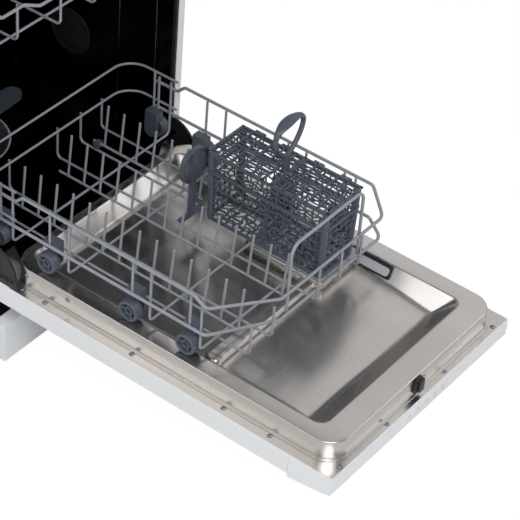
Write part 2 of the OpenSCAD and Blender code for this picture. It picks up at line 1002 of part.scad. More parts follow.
module fascia_side(t) {
  r = fascia_edge_r;
  low = rim_z - fascia_end_t + t;
  polygon([[end_y + t, rim_z - t], [end_y + t, low + r], [end_y + t + r, low],
      [end_y + fascia_knee, rim_z - knee_t + t],
      [seam_y + (t > 0 ? over : 0), rim_z - fascia_t + t],
      [seam_y + (t > 0 ? over : 0), rim_z - t]]);
  translate([end_y + t + r, low + r])
    circle(r);
}

module control_fascia() {
  button_y = end_y + button_in;
  color(white)
    difference() {
      union() {
        difference() {
          across(-half_w, cab_w)
            fascia_side(0);
          across(-half_w + fascia_wall, cab_w - fascia_wall * 2)
            fascia_side(fascia_wall);
          span([-half_w + rim_w, end_y + rim_w, rim_z - fascia_wall - over],
            [half_w - rim_w, seam_y + over, rim_z + over]);
        }
        at(button_x, button_y, rim_z - knee_t + fascia_wall)
          disc(button_r + fascia_wall, button_r * 1.4);
        for (x = [-half_w / 3, half_w / 3])
          span([x, end_y + fascia_wall / 2, rim_z - fascia_end_t + fascia_wall / 2],
            [x + fascia_wall, end_y + fascia_knee, rim_z - fascia_end_t / 2]);
      }
      at(button_x, button_y, rim_z - fascia_t)
        disc(button_r + slack / 3, fascia_t);
      span([key_left, end_y - over, rim_z - key_low], [key_right, end_y + key_t, rim_z - key_top]);
    }
}

module power_button() {
  low = rim_z - fascia_end_t - (knee_t - fascia_end_t) * button_in / fascia_knee;
  color(grey)
    at(button_x, end_y + button_in, low - button_out)
      difference() {
        union() {
          disc(button_r, button_r * 1.9);
          at(0, 0, -button_out / 4)
            disc(button_r * 0.8, button_out);
        }
        at(0, 0, -over)
          disc(button_r * 0.5, over + button_out / 4);
      }
}

key_count = 6;
key_gap = 0.1;

module key_strip() {
  w = (key_right - key_left) / key_count;
  color(grey) {
    span([key_left + key_gap, end_y, rim_z - key_low + key_gap],
      [key_right - key_gap, end_y + key_t - key_gap, rim_z - key_top - key_gap]);
    for (i = [0 : key_count - 1])
      rod([key_left + w * (i + 0.5), end_y - key_t / 4, rim_z - (key_low + key_top) / 2],
        [key_left + w * (i + 0.5), end_y + key_t / 2, rim_z - (key_low + key_top) / 2],
        key_r);
  }
}

// Places on the liner, measured from the free end
ring_half = tub_half - ring_gap;
ring_w = ring_half * 2;
ring_end = hinge_y - liner_gap;
flange_half = half_w - rim_w - slack;
flange_start = end_y + rim_w + slack;
flange_short = 12;
flange_end = ring_end - flange_short;
field_half = ring_half - track_w;
field_z = track_z - field_drop;
field_run = 5;
basin_start = end_y + ring_start + ring_flat;
basin_side_run = 16;
basin_end_run = 46;
basin_low = rim_z + basin_floor;
rear_low = rim_z + rear_floor;
ridge_y = end_y + ridge_at;
basin_r = 24;
end_flat = 14;
// Seat of the dispenser in the liner
disp_in = 2;
disp_far = field_half - disp_in;
disp_near = 177;
disp_x = disp_far - disp_w;
disp_y = end_y + disp_near;
seat_drop = 4;
seat_z = track_z - seat_drop;
seat_margin = 5;

// A sunk form with straight sloping walls and round corners
module sunk(half, from, to, low, top, side_run, end_run, back_run, r) {
  up = over / (top - low);
  intersection() {
    along(from - over, to - from + over * 2)
      polygon([[-half - side_run * up, top + over], [-half + side_run, low],
          [half - side_run, low], [half + side_run * up, top + over]]);
    across(-half - over, half * 2 + over * 2)
      polygon([[from - end_run * up, top + over], [from + end_run, low],
          [to - back_run, low], [to + back_run * up, top + over]]);
    round_plate([-half - over / 2, from - over / 2, low - over], half * 2 + over,
          to - from + over, top - low + over * 2, r);
  }
}

module liner_hollow(grow) {
  rise = liner_t + seat_margin;
  difference() {
    union() {
      sunk(field_half + grow, basin_start - grow, ring_end - end_flat + grow,
        field_z - grow, track_z, field_run, field_run, field_run, basin_r);
      sunk(field_half - field_run + grow, basin_start + field_run - grow, ridge_y + grow,
        basin_low - grow, field_z + over - grow, basin_side_run, basin_end_run,
        ridge_w, basin_r);
      sunk(field_half - field_run + grow, ridge_y + ridge_w - grow,
        ring_end - end_flat - field_run + grow,
        rear_low - grow, field_z + over - grow, basin_side_run, ridge_w, ridge_w, basin_r);
    }
    round_plate([disp_x - seat_margin + grow, disp_y - seat_margin + grow, rim_z - rise],
          disp_w + seat_margin * 2 - grow * 2, disp_l + seat_margin * 2 - grow * 2,
          seat_z - grow - rim_z + rise, seat_margin);
  }
}

module door_liner() {
  t = liner_t;
  bead_z = field_z - ridge_w * 0.4;
  color(steel)
    difference() {
      union() {
        span([-flange_half, flange_start, rim_z - t], [flange_half, flange_end, rim_z]);
        round_plate([-ring_half, end_y + ring_start, rim_z - t], ring_w,
              ring_r * 3, ring_h + t, ring_r);
        span([-ring_half, end_y + ring_start + ring_r, rim_z - t],
          [ring_half, ring_end, track_z]);
      }
      liner_hollow(0);
      difference() {
        union() {
          round_plate([-ring_half + t, end_y + ring_start + t, rim_z - t - over],
                ring_w - t * 2, ring_r * 3, ring_h + over, ring_r - t);
          span([-ring_half + t, end_y + ring_start + ring_r, rim_z - t - over],
            [ring_half - t, ring_end - t, track_z - t]);
        }
        liner_hollow(t);
        intersection() {
          rod([-field_half + ridge_w * 1.5, ridge_y + ridge_w / 2, bead_z],
            [disp_x - ridge_w, ridge_y + ridge_w / 2, bead_z], ridge_w / 2);
          span([-field_half, ridge_y, bead_z], [field_half, ridge_y + ridge_w, track_z]);
        }
      }
      round_plate([disp_x + seat_margin - slack, disp_y + seat_margin - slack, rim_z - t - over],
            disp_w - seat_margin * 2 + slack * 2, disp_l - seat_margin * 2 + slack * 2,
            ring_h + over * 2, seat_margin);
    }
}

// Screws along the liner's flange and on the sides of its ring
flange_screw_r = 3.2;
flange_screw_t = 1.2;
screw_shares = [0.189, 0.328, 0.612, 0.894, 0.969];
end_screw_shares = [-0.89, -0.378, 0.284, 0.875];
wall_screw_shares = [0.831, 0.968];

module liner_screws() {
  mid = (flange_half + ring_half) / 2;
  long = flange_end - flange_start;
  color(steel) {
    for (s = [-1, 1], i = screw_shares)
      at(s * mid, flange_start + long * i, rim_z)
        sphere_cap(flange_screw_r, flange_screw_t);
    for (i = end_screw_shares)
      at(flange_half * i, (flange_start + end_y + ring_start) / 2, rim_z)
        sphere_cap(flange_screw_r, flange_screw_t);
    for (s = [-1, 1], i = wall_screw_shares)
      at(s * ring_half, flange_start + long * i, rim_z + ring_h * 0.65)
        rotate([0, s * 90, 0])
          sphere_cap(flange_screw_r, flange_screw_t);
  }
}

// A low domed head on the plane z = 0
module sphere_cap(r, h) {
  ball = (r * r + h * h) / (h * 2);
  difference() {
    at(0, 0, h - ball)
      sphere(r = ball);
    at(0, 0, -ball * 2)
      disc(ball * 2, ball * 2);
  }
}

loop_r = 1.6;
loop_half = 8;
loop_low = 14;
loop_top = 30;
loop_out = 4.2;

module striker_block() {
  wall = end_y + ring_start;
  top = rim_z + catch_h;
  lap = catch_lap;
  color(black)
    difference() {
      union() {
        span([-catch_w / 2, wall - lap, rim_z + loop_low - lap], [catch_w / 2, wall, top]);
        span([-catch_w / 2, wall - slack, track_z], [catch_w / 2, wall + ring_flat * 0.6, top]);
      }
      across(-catch_w / 2 - over, catch_w + over * 2)
        polygon([[wall + lap, top + over], [wall + ring_flat, top + over],
            [wall + ring_flat, track_z + lap / 2]]);
      for (z = [loop_low, loop_top], s = [-1, 1])
        at(s * loop_half, wall - lap - over, rim_z + z)
          rotate([-90, 0, 0])
            disc(loop_r + slack / 2, over + lap / 2);
    }
}

module striker_loop() {
  wall = end_y + ring_start - catch_lap / 2;
  color(steel)
    for (z = [loop_low, loop_top])
      bent_wire([[-loop_half, wall - slack / 2, rim_z + z],
           [-loop_half, wall - loop_out, rim_z + z],
           [loop_half, wall - loop_out, rim_z + z],
           [loop_half, wall - slack / 2, rim_z + z]], loop_r * 1.5, loop_r);
}

// Parts of the dispenser
bezel_t = 3;
cup_x = 12;
cup_y = 14;
cup_w = 66;
cup_l = 84;
cup_deep = 24;
lid_t = 2.2;
lid_lap = 4;
rinse_r = 16;
rinse_x = 100;
rinse_y = 124;
recess_w = 9;
recess_l = 76;
housing_low = 18;

module dispenser_housing() {
  m = seat_margin;
  top = seat_z + bezel_t;
  color(grey)
    difference() {
      union() {
        round_plate([disp_x, disp_y, seat_z], disp_w, disp_l, bezel_t, m);
        round_plate([disp_x + m, disp_y + m, rim_z - housing_low], disp_w - m * 2,
              disp_l - m * 2, seat_z - rim_z + housing_low + over, m);
      }
      round_plate([disp_x + cup_x, disp_y + cup_y, top - cup_deep], cup_w, cup_l,
            cup_deep + over, m);
      at(disp_x + rinse_x, disp_y + rinse_y, top - cup_deep)
        disc(rinse_r * 0.75, cup_deep + over);
      round_plate([disp_x + disp_w - m - recess_w, disp_y + m, top - bezel_t * 2], recess_w,
            recess_l, bezel_t * 2 + over, m / 2);
      for (s = [cup_x - lid_lap, cup_x + cup_w + lid_lap])
        span([disp_x + s - lid_t, disp_y + cup_y - lid_lap, top - lid_t],
          [disp_x + s + lid_t, disp_y + disp_l - m, top + over]);
    }
}

module dispenser_lid() {
  top = seat_z + bezel_t;
  color(slate)
    difference() {
      union() {
        round_plate([disp_x + cup_x - lid_lap, disp_y + cup_y - lid_lap, top + slack / 2],
              cup_w + lid_lap * 2, cup_l + lid_lap * 2, lid_t, lid_lap);
        for (s = [cup_x - lid_lap, cup_x + cup_w + lid_lap])
          span([disp_x + s - lid_t + slack * 2, disp_y + cup_y + slack,
             top - lid_t + slack],
            [disp_x + s + lid_t - slack * 2, disp_y + cup_y + cup_l - lid_lap,
             top + slack]);
      }
      span([disp_x + cup_x, disp_y + cup_y + lid_lap, top + slack + lid_t / 2],
        [disp_x + cup_x + cup_w, disp_y + cup_y + lid_lap * 3, top + lid_t * 2]);
    }
}

module rinse_cap() {
  top = seat_z + bezel_t;
  color(slate)
    at(disp_x + rinse_x, disp_y + rinse_y, top + slack / 3) {
      disc(rinse_r, lid_t);
      at(0, 0, -cup_deep / 3)
        disc(rinse_r * 0.75 - slack / 4, cup_deep / 3 + over);
      at(-rinse_r * 0.8, -lid_t / 2, lid_t / 2)
        cube([rinse_r * 1.6, lid_t, lid_t]);
    }
}

arm_t = 9;
arm_wall = 1.2;
arm_hub_r = 18;
arm_hub_h = 20;
jet_r = 1.6;
bore_gap = 0.06;
arm_share = [0.3, 0.5, 0.7, 0.9];

// Outline of a spray arm with round ends and a wide middle
module arm_plan(l, w, r) {
  tip = w * 0.36;
  polygon([[-l / 2 + tip, -tip], [0, -w / 2], [l / 2 - tip, -tip],
      [l / 2 - tip, tip], [0, w / 2], [-l / 2 + tip, tip]]);
  for (s = [-1, 1])
    translate([s * (l / 2 - tip), 0])
      circle(tip);
  circle(max(r, w / 2));
}

module arm_blade(l) {
  difference() {
    union() {
      linear_extrude(arm_t)
        arm_plan(l, arm_w, arm_hub_r);
      at(0, 0, arm_t - over)
        linear_extrude(arm_wall + over)
          arm_plan(l - arm_w * 0.4, arm_w * 0.6, arm_hub_r);
    }
    for (s = [-1, 1], i = arm_share)
      at(s * i * (l / 2 - jet_r * 4), s * arm_w * 0.14, arm_t / 2)
        disc(jet_r, arm_t);
  }
}

module lower_spray_arm() {
  low = hub_top + slack / 3;
  color(slate)
    at(0, sump_y, low)
      difference() {
        union() {
          arm_blade(arm_l);
          disc(arm_hub_r * 0.8, arm_hub_h * 0.8);
        }
        at(0, 0, -over)
          disc(arm_pin_r + bore_gap, arm_hub_h * 2);
      }
}

// Places in the lower rack, measured along it from its front wires
rack_y = end_y + rack_front;
rail_x = tub_half - rack_gap;
rail_level = rim_z + rail_z;
low_rail_level = rim_z + low_rail_z;
front_level = rim_z + front_z;
floor_z = track_z + floor_up;
wire_gap = 0.05;
cross_x = rail_x - rail_r - wire_r - wire_gap;
long_z = floor_z - wire_r * 2 - wire_gap;
tine_z = floor_z + wire_r * 2 + wire_gap;
knee_at = 64;
knee_drop = 12;
chamfer_at = 42;
chamfer_x = 0.65;
far_knee = 24;
front_low = 26;
bend_rail = 9;
bend_rear = 38;
jog_at = 114;
jog_drop = 14;
arch_front = 400;
low_arch_drop = 50;
post_at = 443;
handle_left = -42;
handle_right = 133;
handle_bend = 18;
cross_shares = [0.105, 0.29, 0.6, 0.82];
wheel_shares = [0.146, 0.358, 0.674, 0.868];
long_shares = [-0.75, -0.47, 0.118, 0.41, 0.68];
wheel_x = rail_x - rail_r - wheel_w / 2;

module lower_rack_rails() {
  back = rack_y + rack_l;
  top = rail_level;
  color(wire_grey) {
    bent_wire([[-rail_x, back - jog_at + jog_drop * 4, top - jog_drop],
         [-rail_x, back - jog_at + jog_drop, top - jog_drop],
         [-rail_x, back - jog_at, top],
         [-rail_x, rack_y + knee_at, top],
         [-rail_x, rack_y + chamfer_at, top - knee_drop],
         [-rail_x * (1 - chamfer_x), rack_y, front_level],
         [rail_x, rack_y, front_level],
         [rail_x, rack_y + far_knee, top],
         [rail_x, back - jog_at, top],
         [rail_x, back - jog_at + jog_drop, top - jog_drop],
         [rail_x, back - jog_at + jog_drop * 4, top - jog_drop]], bend_rail, rail_r);
    bent_wire([[-rail_x, rack_y + post_at, low_rail_level],
         [-rail_x, rack_y + chamfer_at, low_rail_level],
         [-rail_x * (1 - chamfer_x), rack_y, low_rail_level - front_low],
         [rail_x, rack_y, low_rail_level - front_low],
         [rail_x, rack_y + far_knee, low_rail_level],
         [rail_x, rack_y + post_at, low_rail_level]], bend_rail, rail_r);
    for (z = [top + rail_r, top - low_arch_drop])
      bent_wire([[-rail_x, rack_y + arch_front, z], [-rail_x, back, z],
           [rail_x, back, z], [rail_x, rack_y + arch_front, z]], bend_rear, wire_r);
    bent_wire([[handle_left, rack_y + rail_r * 2 + wire_gap, low_rail_level - front_low],
         [handle_left, rack_y + rail_r * 2 + wire_gap, rim_z + handle_z],
         [handle_right, rack_y + rail_r * 2 + wire_gap, rim_z + handle_z],
         [handle_right, rack_y + rail_r * 2 + wire_gap, low_rail_level - front_low]],
         handle_bend, rail_r);
  }
}

module lower_rack_cross_wires() {
  top = rail_level;
  color(wire_grey) {
    for (i = cross_shares)
      bent_wire([[-cross_x, rack_y + rack_l * i, top], [-cross_x, rack_y + rack_l * i, floor_z],
           [cross_x, rack_y + rack_l * i, floor_z], [cross_x, rack_y + rack_l * i, top]],
           bend_rail, wire_r);
    for (i = wheel_shares, s = [-1, 1])
      rod([s * cross_x, rack_y + rack_l * i, low_rail_level - wire_r * 3],
        [s * cross_x, rack_y + rack_l * i, top], wire_r);
    for (s = [-1, 1])
      rod([s * cross_x, rack_y + post_at, low_rail_level - wire_r * 3],
          [s * cross_x, rack_y + post_at, top + rail_r * 2], wire_r);
  }
}

module lower_rack_long_wires() {
  back = rack_y + rack_l + wire_r * 2 + wire_gap;
  front = rack_y - rail_r - wire_r - wire_gap;
  color(wire_grey)
    for (i = long_shares)
      bent_wire([[rail_x * i, front, front_level + rail_r], [rail_x * i, front, long_z],
           [rail_x * i, back, long_z],
           [rail_x * i, back, rail_level - low_arch_drop + wire_r]], bend_rail, wire_r);
}

// Brackets that carry the wheels, and the clip around the plate tines
bracket_t = 3.5;
bracket_r = 12;
bracket_top = 88;
pin_head = 1.4;
wheel_gap = 0.4;
wheel_z = track_z + wheel_r + slack;
clip_in = wheel_x - wheel_w / 2 - wheel_gap;
fold_at = 262;
fold_end = 482;
fold_share = 0.4492;
fold_x = rail_x * fold_share;
fold_z = tine_z + wire_gap * 5;
fold_r = 2.2;
fold_bore_gap = 0.06;
holder_w = 9;
holder_places = [fold_at + holder_w * 0.9, fold_end - holder_w * 1.6];
cage_at = 252;
cage_share = 0.262;
cage_x = rail_x * cage_share;
cage_w = 54;
cage_h = 58;
cage_low = 114;
cage_t = 3.5;
cage_depth = 9;

module rack_clips() {
  color(slate) {
    for (i = wheel_shares)
      at(0, rack_y + rack_l * i, 0)
        both_sides() {
          across(clip_in - bracket_t, bracket_t) {
            translate([0, wheel_z])
              circle(bracket_r);
            translate([-bracket_r, wheel_z])
              square([bracket_r * 2, rim_z + bracket_top - wheel_z]);
          }
          span([clip_in - over, -bracket_r, wheel_z + wheel_r + bracket_t / 2],
            [cross_x - wire_r - wire_gap, bracket_r, rim_z + bracket_top]);
          rod([clip_in - over, 0, wheel_z],
            [wheel_x + wheel_w / 2 + wheel_gap + over, 0, wheel_z], pin_r);
          rod([wheel_x + wheel_w / 2 + wheel_gap, 0, wheel_z],
            [wheel_x + wheel_w / 2 + wheel_gap + pin_head, 0, wheel_z], pin_r * 1.5);
        }
    for (p = holder_places)
      at(0, rack_y + p, 0)
        difference() {
          span([fold_x - holder_w, 0, long_z + wire_r + wire_gap],
            [fold_x + holder_w / 2, holder_w, fold_z + fold_r * 1.6]);
          rod([fold_x, -over, fold_z], [fold_x, holder_w + over, fold_z],
            fold_r + fold_bore_gap);
        }
    at(cage_x, rack_y + cage_at, 0) {
      along(0, cage_depth)
        difference() {
          translate([-cage_w / 2, rim_z + cage_low])
            round_rect(cage_w, cage_h, cage_w * 0.4);
          translate([-cage_w / 2 + cage_t, rim_z + cage_low + cage_t])
            round_rect(cage_w - cage_t * 2, cage_h - cage_t * 2, cage_w * 0.4 - cage_t);
        }
      for (s = [-1, 1])
        along(0, cage_depth)
          translate([s * cage_w * 0.14 - cage_t / 4, rim_z + cage_low + cage_t / 2])
            square([cage_t / 2, cage_h - cage_t]);
      span([-cage_t, 0, floor_z - wire_r], [cage_t, cage_depth, rim_z + cage_low + cage_t]);
      span([-cage_w / 2, 0, floor_z - wire_r], [cage_w / 2, cage_depth, floor_z + wire_r]);
    }
  }
}

tine_lean = 6;
tine_rows = [-0.62, -0.06];
tine_first = 30;
tine_last = 470;

module tine_comb(x, z, from, to, r) {
  count = floor((to - from) / tine_pitch);
  rod([x, rack_y + from, z], [x, rack_y + to, z], r);
  for (i = [0 : count])
    rod([x, rack_y + from + tine_lean + i * tine_pitch, z],
      [x, rack_y + from + i * tine_pitch, z + tine_h], wire_r);
}

module fixed_tines() {
  color(wire_grey)
    for (i = tine_rows)
      tine_comb(rail_x * i, tine_z, tine_first, tine_last, wire_r);
}

module folding_tines() {
  color(wire_grey)
    tine_comb(fold_x, fold_z, fold_at, fold_end, fold_r);
}

module rack_wheel_pair(share) {
  at(0, rack_y + rack_l * share, wheel_z)
    both_sides()
      color(slate)
        at(wheel_x - wheel_w / 2, 0, 0)
          rotate([0, 90, 0])
            difference() {
              rotate_extrude() {
                translate([pin_r + bore_gap, 0])
                  square([pin_r * 0.7, wheel_w]);
                translate([pin_r + bore_gap, wheel_w * 0.25])
                  square([wheel_r * 0.9 - pin_r, wheel_w * 0.2]);
                translate([wheel_r * 0.8, 0])
                  square([wheel_r * 0.2 - wire_r / 2, wheel_w]);
                translate([wheel_r * 0.8, wire_r / 2])
                  square([wheel_r * 0.2, wheel_w - wire_r]);
              }
              for (i = [0 : 4])
                rotate(i * 72)
                  at(wheel_r * 0.58, 0, wheel_w * 0.25 - over)
                    disc(wheel_r * 0.12, wheel_w);
            }
}

module rack_wheels_1() {
  rack_wheel_pair(wheel_shares[0]);
}

module rack_wheels_2() {
  rack_wheel_pair(wheel_shares[1]);
}

module rack_wheels_3() {
  rack_wheel_pair(wheel_shares[2]);
}

module rack_wheels_4() {
  rack_wheel_pair(wheel_shares[3]);
}

// Places of the basket, which stands on the cross wires
basket_in = 49;
basket_x = rail_x - basket_in - basket_w;
basket_at = 12;
basket_y = rack_y + basket_at;
basket_z = floor_z + wire_r + slack;
basket_top = basket_z + basket_h;
draft = 5;
slot_rows = 4;
slot_cols = 9;
basket_rib = 5;
handle_at = 112;
handle_t = 7;
stem_w = 16;
lid_plate = 2.2;
lid_over = 2;
knuckle_r = 3;
knuckle_l = 14;
hinge_wire_r = 1.5;
lid_slot = 13;
knuckle_shares = [0.16, 0.84];

module basket_shape(grow, low, top) {
  d = draft;
  intersection() {
    along(basket_y - draft, basket_l + draft * 2)
      polygon([[basket_x + d - grow, low], [basket_x + basket_w - d + grow, low],
          [basket_x + basket_w + grow, top], [basket_x - grow, top]]);
    across(basket_x - draft, basket_w + draft * 2)
      polygon([[basket_y + d - grow, low], [basket_y + basket_l - d + grow, low],
          [basket_y + basket_l + grow, top], [basket_y - grow, top]]);
  }
}

// Hinge line of the basket's lid
lid_hinge_x = basket_x + basket_w + knuckle_r;
lid_hinge_z = basket_top + lid_plate / 2;

// The children at each knuckle of the lid's hinge, and a rod on its axis
module at_knuckles() {
  for (i = knuckle_shares)
    at(0, basket_y + basket_l * i, 0)
      children();
}

module lid_pin(from, to, r) {
  rod([lid_hinge_x, from, lid_hinge_z], [lid_hinge_x, to, lid_hinge_z], r);
}

module basket_body() {
  t = basket_t;
  right = basket_x + basket_w;
  pitch_x = (basket_w - draft * 4) / slot_rows;
  pitch_y = (basket_l - draft * 4) / slot_cols;
  w = pitch_x - basket_rib;
  l = pitch_y - basket_rib;
  mid = basket_z + basket_h * 0.52;
  levels = [[basket_z + basket_rib * 2, mid - basket_rib / 2],
            [mid + basket_rib, basket_top - basket_rib * 2]];
  xs = [for (i = [0.5 : slot_rows]) basket_x + draft * 2 + pitch_x * i - w / 2];
  ys = [for (i = [0.5 : slot_cols]) basket_y + draft * 2 + pitch_y * i - l / 2];
  color(slate)
    difference() {
      union() {
        difference() {
          basket_shape(0, basket_z, basket_top);
          basket_shape(-t, basket_z + t, basket_top + over);
          for (h = levels) {
            for (y = ys)
              span([basket_x - over, y, h[0]], [right + over, y + l, h[1]]);
            for (x = xs)
              span([x, basket_y - over, h[0]], [x + w, basket_y + basket_l + over, h[1]]);
          }
          for (x = xs, y = ys)
            span([x, y, basket_z - over], [x + w, y + l, basket_z + t + over]);
        }
        span([basket_x + t / 2, basket_y + handle_at - t / 2, basket_z + t / 2],
             [right - t / 2 - draft / 2, basket_y + handle_at + t / 2, basket_top - t * 2]);
        at_knuckles() {
          lid_pin(-knuckle_l / 3, knuckle_l / 3, knuckle_r);
          span([right - t / 2, -knuckle_l / 3, basket_top - knuckle_r * 3],
               [lid_hinge_x, knuckle_l / 3, lid_hinge_z]);
        }
      }
      at_knuckles()
        lid_pin(-knuckle_l, knuckle_l, hinge_wire_r + bore_gap);
    }
}

module basket_lid() {
  low = basket_top + slack;
  right = basket_x + basket_w;
  cols = 4;
  rows = 11;
  pitch_x = (basket_w - basket_rib) / cols;
  pitch_y = (basket_l - basket_rib) / rows;
  handle_y = basket_y + handle_at;
  color(slate) {
    difference() {
      span([basket_x - lid_over, basket_y - lid_over, low],
           [right - knuckle_r, basket_y + basket_l + lid_over, low + lid_plate]);
      for (i = [0 : cols - 1], j = [0 : rows - 1])
        if (abs(basket_y + basket_rib + pitch_y * (j + 0.4) - handle_y) > pitch_y * 0.8)
          span([basket_x + basket_rib + pitch_x * i, basket_y + basket_rib + pitch_y * j,
                low - over],
               [min(basket_x + pitch_x * (i + 1), right - knuckle_r * 3),
                basket_y + pitch_y * (j + 1), low + lid_plate + over]);
      span([basket_x - lid_over - over, handle_y - lid_slot / 2, low - over],
           [basket_x + basket_w * 0.86, handle_y + lid_slot / 2, low + lid_plate + over]);
    }
    at_knuckles() {
      lid_pin(-knuckle_l, knuckle_l, hinge_wire_r);
      for (s = [0, -1])
        at(0, s * knuckle_l * 1.4 + knuckle_l * 0.4, 0)
          difference() {
            union() {
              lid_pin(0, knuckle_l * 0.6, knuckle_r);
              span([right - knuckle_r * 2, 0, low],
                   [lid_hinge_x, knuckle_l * 0.6, low + lid_plate]);
            }
            span([right - knuckle_r * 3, -over, basket_top - knuckle_r * 3],
                 [right + slack, knuckle_l, low]);
          }
    }
  }
}

module basket_handle() {
  mid = basket_x + basket_w / 2 + draft;
  low = basket_top + lid_plate * 4;
  handle_y = basket_y + handle_at;
  color(slate)
    along(handle_y - handle_t / 2, handle_t) {
      difference() {
        translate([mid - loop_w / 2, low])
          round_rect(loop_w, loop_h - lid_plate * 4, loop_w * 0.38);
        translate([mid - loop_w / 2 + handle_t, low + handle_t])
          round_rect(loop_w - handle_t * 2, loop_h - lid_plate * 4 - handle_t * 2,
               loop_w * 0.38 - handle_t);
      }
      translate([mid - stem_w / 2, basket_top - basket_t * 2 + wire_gap])
        square([stem_w, low - basket_top + basket_t * 2 + handle_t / 2]);
    }
}

// Places in the upper rack, measured along it from its front
upper_in = 3;
upper_y = front_y + upper_in;
upper_top = rim_z + upper_z;
upper_front = rim_z + upper_front_z;
upper_low = rim_z + upper_floor;
wave_x = 0.66;
wave_in = 50;
wave_out = 15;
wave_side = 15;
channel_t = 1.5;
channel_gap = 0.3;
channel_x = rail_x + rail_r + channel_gap / 2;
channel_out = tub_half - roller_w * 0.6;
pad_w = 16;
shelf_drop = 15;
shelf_z = upper_top - shelf_drop;
shelf_x = cross_x - wire_r * 2 - slack;
shelf_w = 104;
shelf_bars = 6;
upper_shares = [0.05, 0.27, 0.5, 0.73, 0.9];
upper_long_shares = [-0.78, -0.4, 0, 0.4, 0.78];
shelf_clip = 7;

module upper_rack_rails() {
  back = upper_y + upper_l;
  arch = upper_top - rail_r - wire_r - wire_gap;
  color(wire_grey) {
    bent_wire([[-rail_x, back, upper_top], [-rail_x, upper_y + wave_side, upper_top],
         [-rail_x, upper_y + rail_r, upper_front],
         [-rail_x + wave_in, upper_y + rail_r, upper_front],
         [-rail_x * wave_x, upper_y - wave_out, upper_front],
         [rail_x * wave_x, upper_y - wave_out, upper_front],
         [rail_x - wave_in, upper_y + rail_r, upper_front],
         [rail_x, upper_y + rail_r, upper_front],
         [rail_x, upper_y + wave_side, upper_top], [rail_x, back, upper_top]],
         bend_rail * 0.8, rail_r);
    bent_wire([[-rail_x, back - bend_rear * 2, arch], [-rail_x, back, arch],
         [rail_x, back, arch], [rail_x, back - bend_rear * 2, arch]], bend_rear, wire_r);
  }
}

module upper_rack_wires() {
  color(wire_grey) {
    for (i = upper_shares)
      bent_wire([[-cross_x, upper_y + upper_l * i, upper_top],
           [-cross_x, upper_y + upper_l * i, upper_low],
           [cross_x, upper_y + upper_l * i, upper_low],
           [cross_x, upper_y + upper_l * i, upper_top]], bend_rail, wire_r);
    for (i = upper_long_shares) {
      y = upper_y + (abs(i) > wave_x ? rail_r : -wave_out) + rail_r + wire_r + wire_gap;
      bent_wire([[rail_x * i, y, upper_front + rail_r],
           [rail_x * i, y, upper_low + wire_r * 2 + wire_gap],
           [rail_x * i, upper_y + upper_l - bend_rail, upper_low + wire_r * 2 + wire_gap]],
           bend_rail, wire_r);
    }
    for (i = [upper_shares[1], upper_shares[3]])
      at(0, upper_y + upper_l * i, 0)
        difference() {
          span([-cross_x, -shelf_clip / 2, shelf_z - shelf_clip / 2],
            [-shelf_x + shelf_clip / 2, shelf_clip / 2, shelf_z + shelf_clip / 2]);
          rod([-shelf_x, -shelf_clip, shelf_z], [-shelf_x, shelf_clip, shelf_z],
            wire_r + bore_gap);
        }
  }
}

module upper_rails() {
  r = roller_r + channel_gap;
  color(grey)
    both_sides()
      difference() {
        union() {
          along(upper_y, upper_l)
            difference() {
              translate([channel_x, roller_z - r - channel_t])
                square([channel_out - channel_x, r * 2 + channel_t * 2]);
              translate([channel_x + channel_t, roller_z - r])
                square([channel_out, r * 2]);
            }
          for (i = upper_shares)
            span([cross_x + wire_r + wire_gap, upper_y + upper_l * i - pad_w / 2,
               roller_z - roller_r],
              [channel_x + channel_t / 2, upper_y + upper_l * i + pad_w / 2,
               roller_z + roller_r]);
        }
      }
}

module roller_pair(y) {
  at(0, y, roller_z)
    both_sides()
      color(white)
        rod_ring(tub_half - roller_w * 1.5, roller_w, roller_r, roller_pin_r + bore_gap);
}

// A ring round the X axis, from x
module rod_ring(x, w, r, bore) {
  at(x, 0, 0)
    rotate([0, 90, 0])
      difference() {
        disc(r, w);
        at(0, 0, -over)
          disc(bore, w + over * 2);
      }
}

module upper_rollers_front() {
  roller_pair(roller_places[0]);
}

module upper_rollers_rear() {
  roller_pair(roller_places[1]);
}

module cup_shelf() {
  from = upper_y + upper_l * upper_shares[1] - pad_w;
  to = upper_y + upper_l * upper_shares[3] + pad_w;
  step = (to - from - wire_r * 2) / shelf_bars;
  edge = -shelf_x + shelf_w;
  color(wire_grey) {
    rod([-shelf_x, from, shelf_z], [-shelf_x, to, shelf_z], wire_r);
    rod([edge, from, shelf_z], [edge, to, shelf_z], wire_r);
    for (i = [0 : shelf_bars])
      rod([-shelf_x, from + wire_r + i * step, shelf_z],
          [edge, from + wire_r + i * step, shelf_z], wire_r * 0.8);
  }
}

feed_r = 7.5;
feed_hub_r = 12;
upper_arm_at = 233;
upper_arm_drop = 25;
upper_arm_y = front_y + upper_arm_at;
upper_arm_z = dock_z - upper_arm_drop;
arm_nut_r = 9;
arm_nut_h = 3;

module upper_feed_tube() {
  end = tub_back - roller_w / 2 - slack - upper_out;
  top = upper_arm_z + arm_t + arm_wall + slack;
  color(slate) {
    rod([0, upper_arm_y - feed_hub_r / 2, dock_z], [0, end, dock_z], feed_r);
    at(0, upper_arm_y, top)
      disc(feed_hub_r, dock_z - top);
    at(0, upper_arm_y, upper_arm_z - arm_nut_h - slack)
      disc(arm_pin_r, dock_z - upper_arm_z + arm_nut_h + slack);
    at(0, upper_arm_y, upper_arm_z - arm_nut_h - slack)
      disc(arm_nut_r, arm_nut_h);
    for (i = [upper_shares[2], upper_shares[4]])
      span([-feed_r, upper_y + upper_l * i - pad_w / 2, dock_z],
           [feed_r, upper_y + upper_l * i + pad_w / 2, upper_low - wire_r - wire_gap]);
  }
}

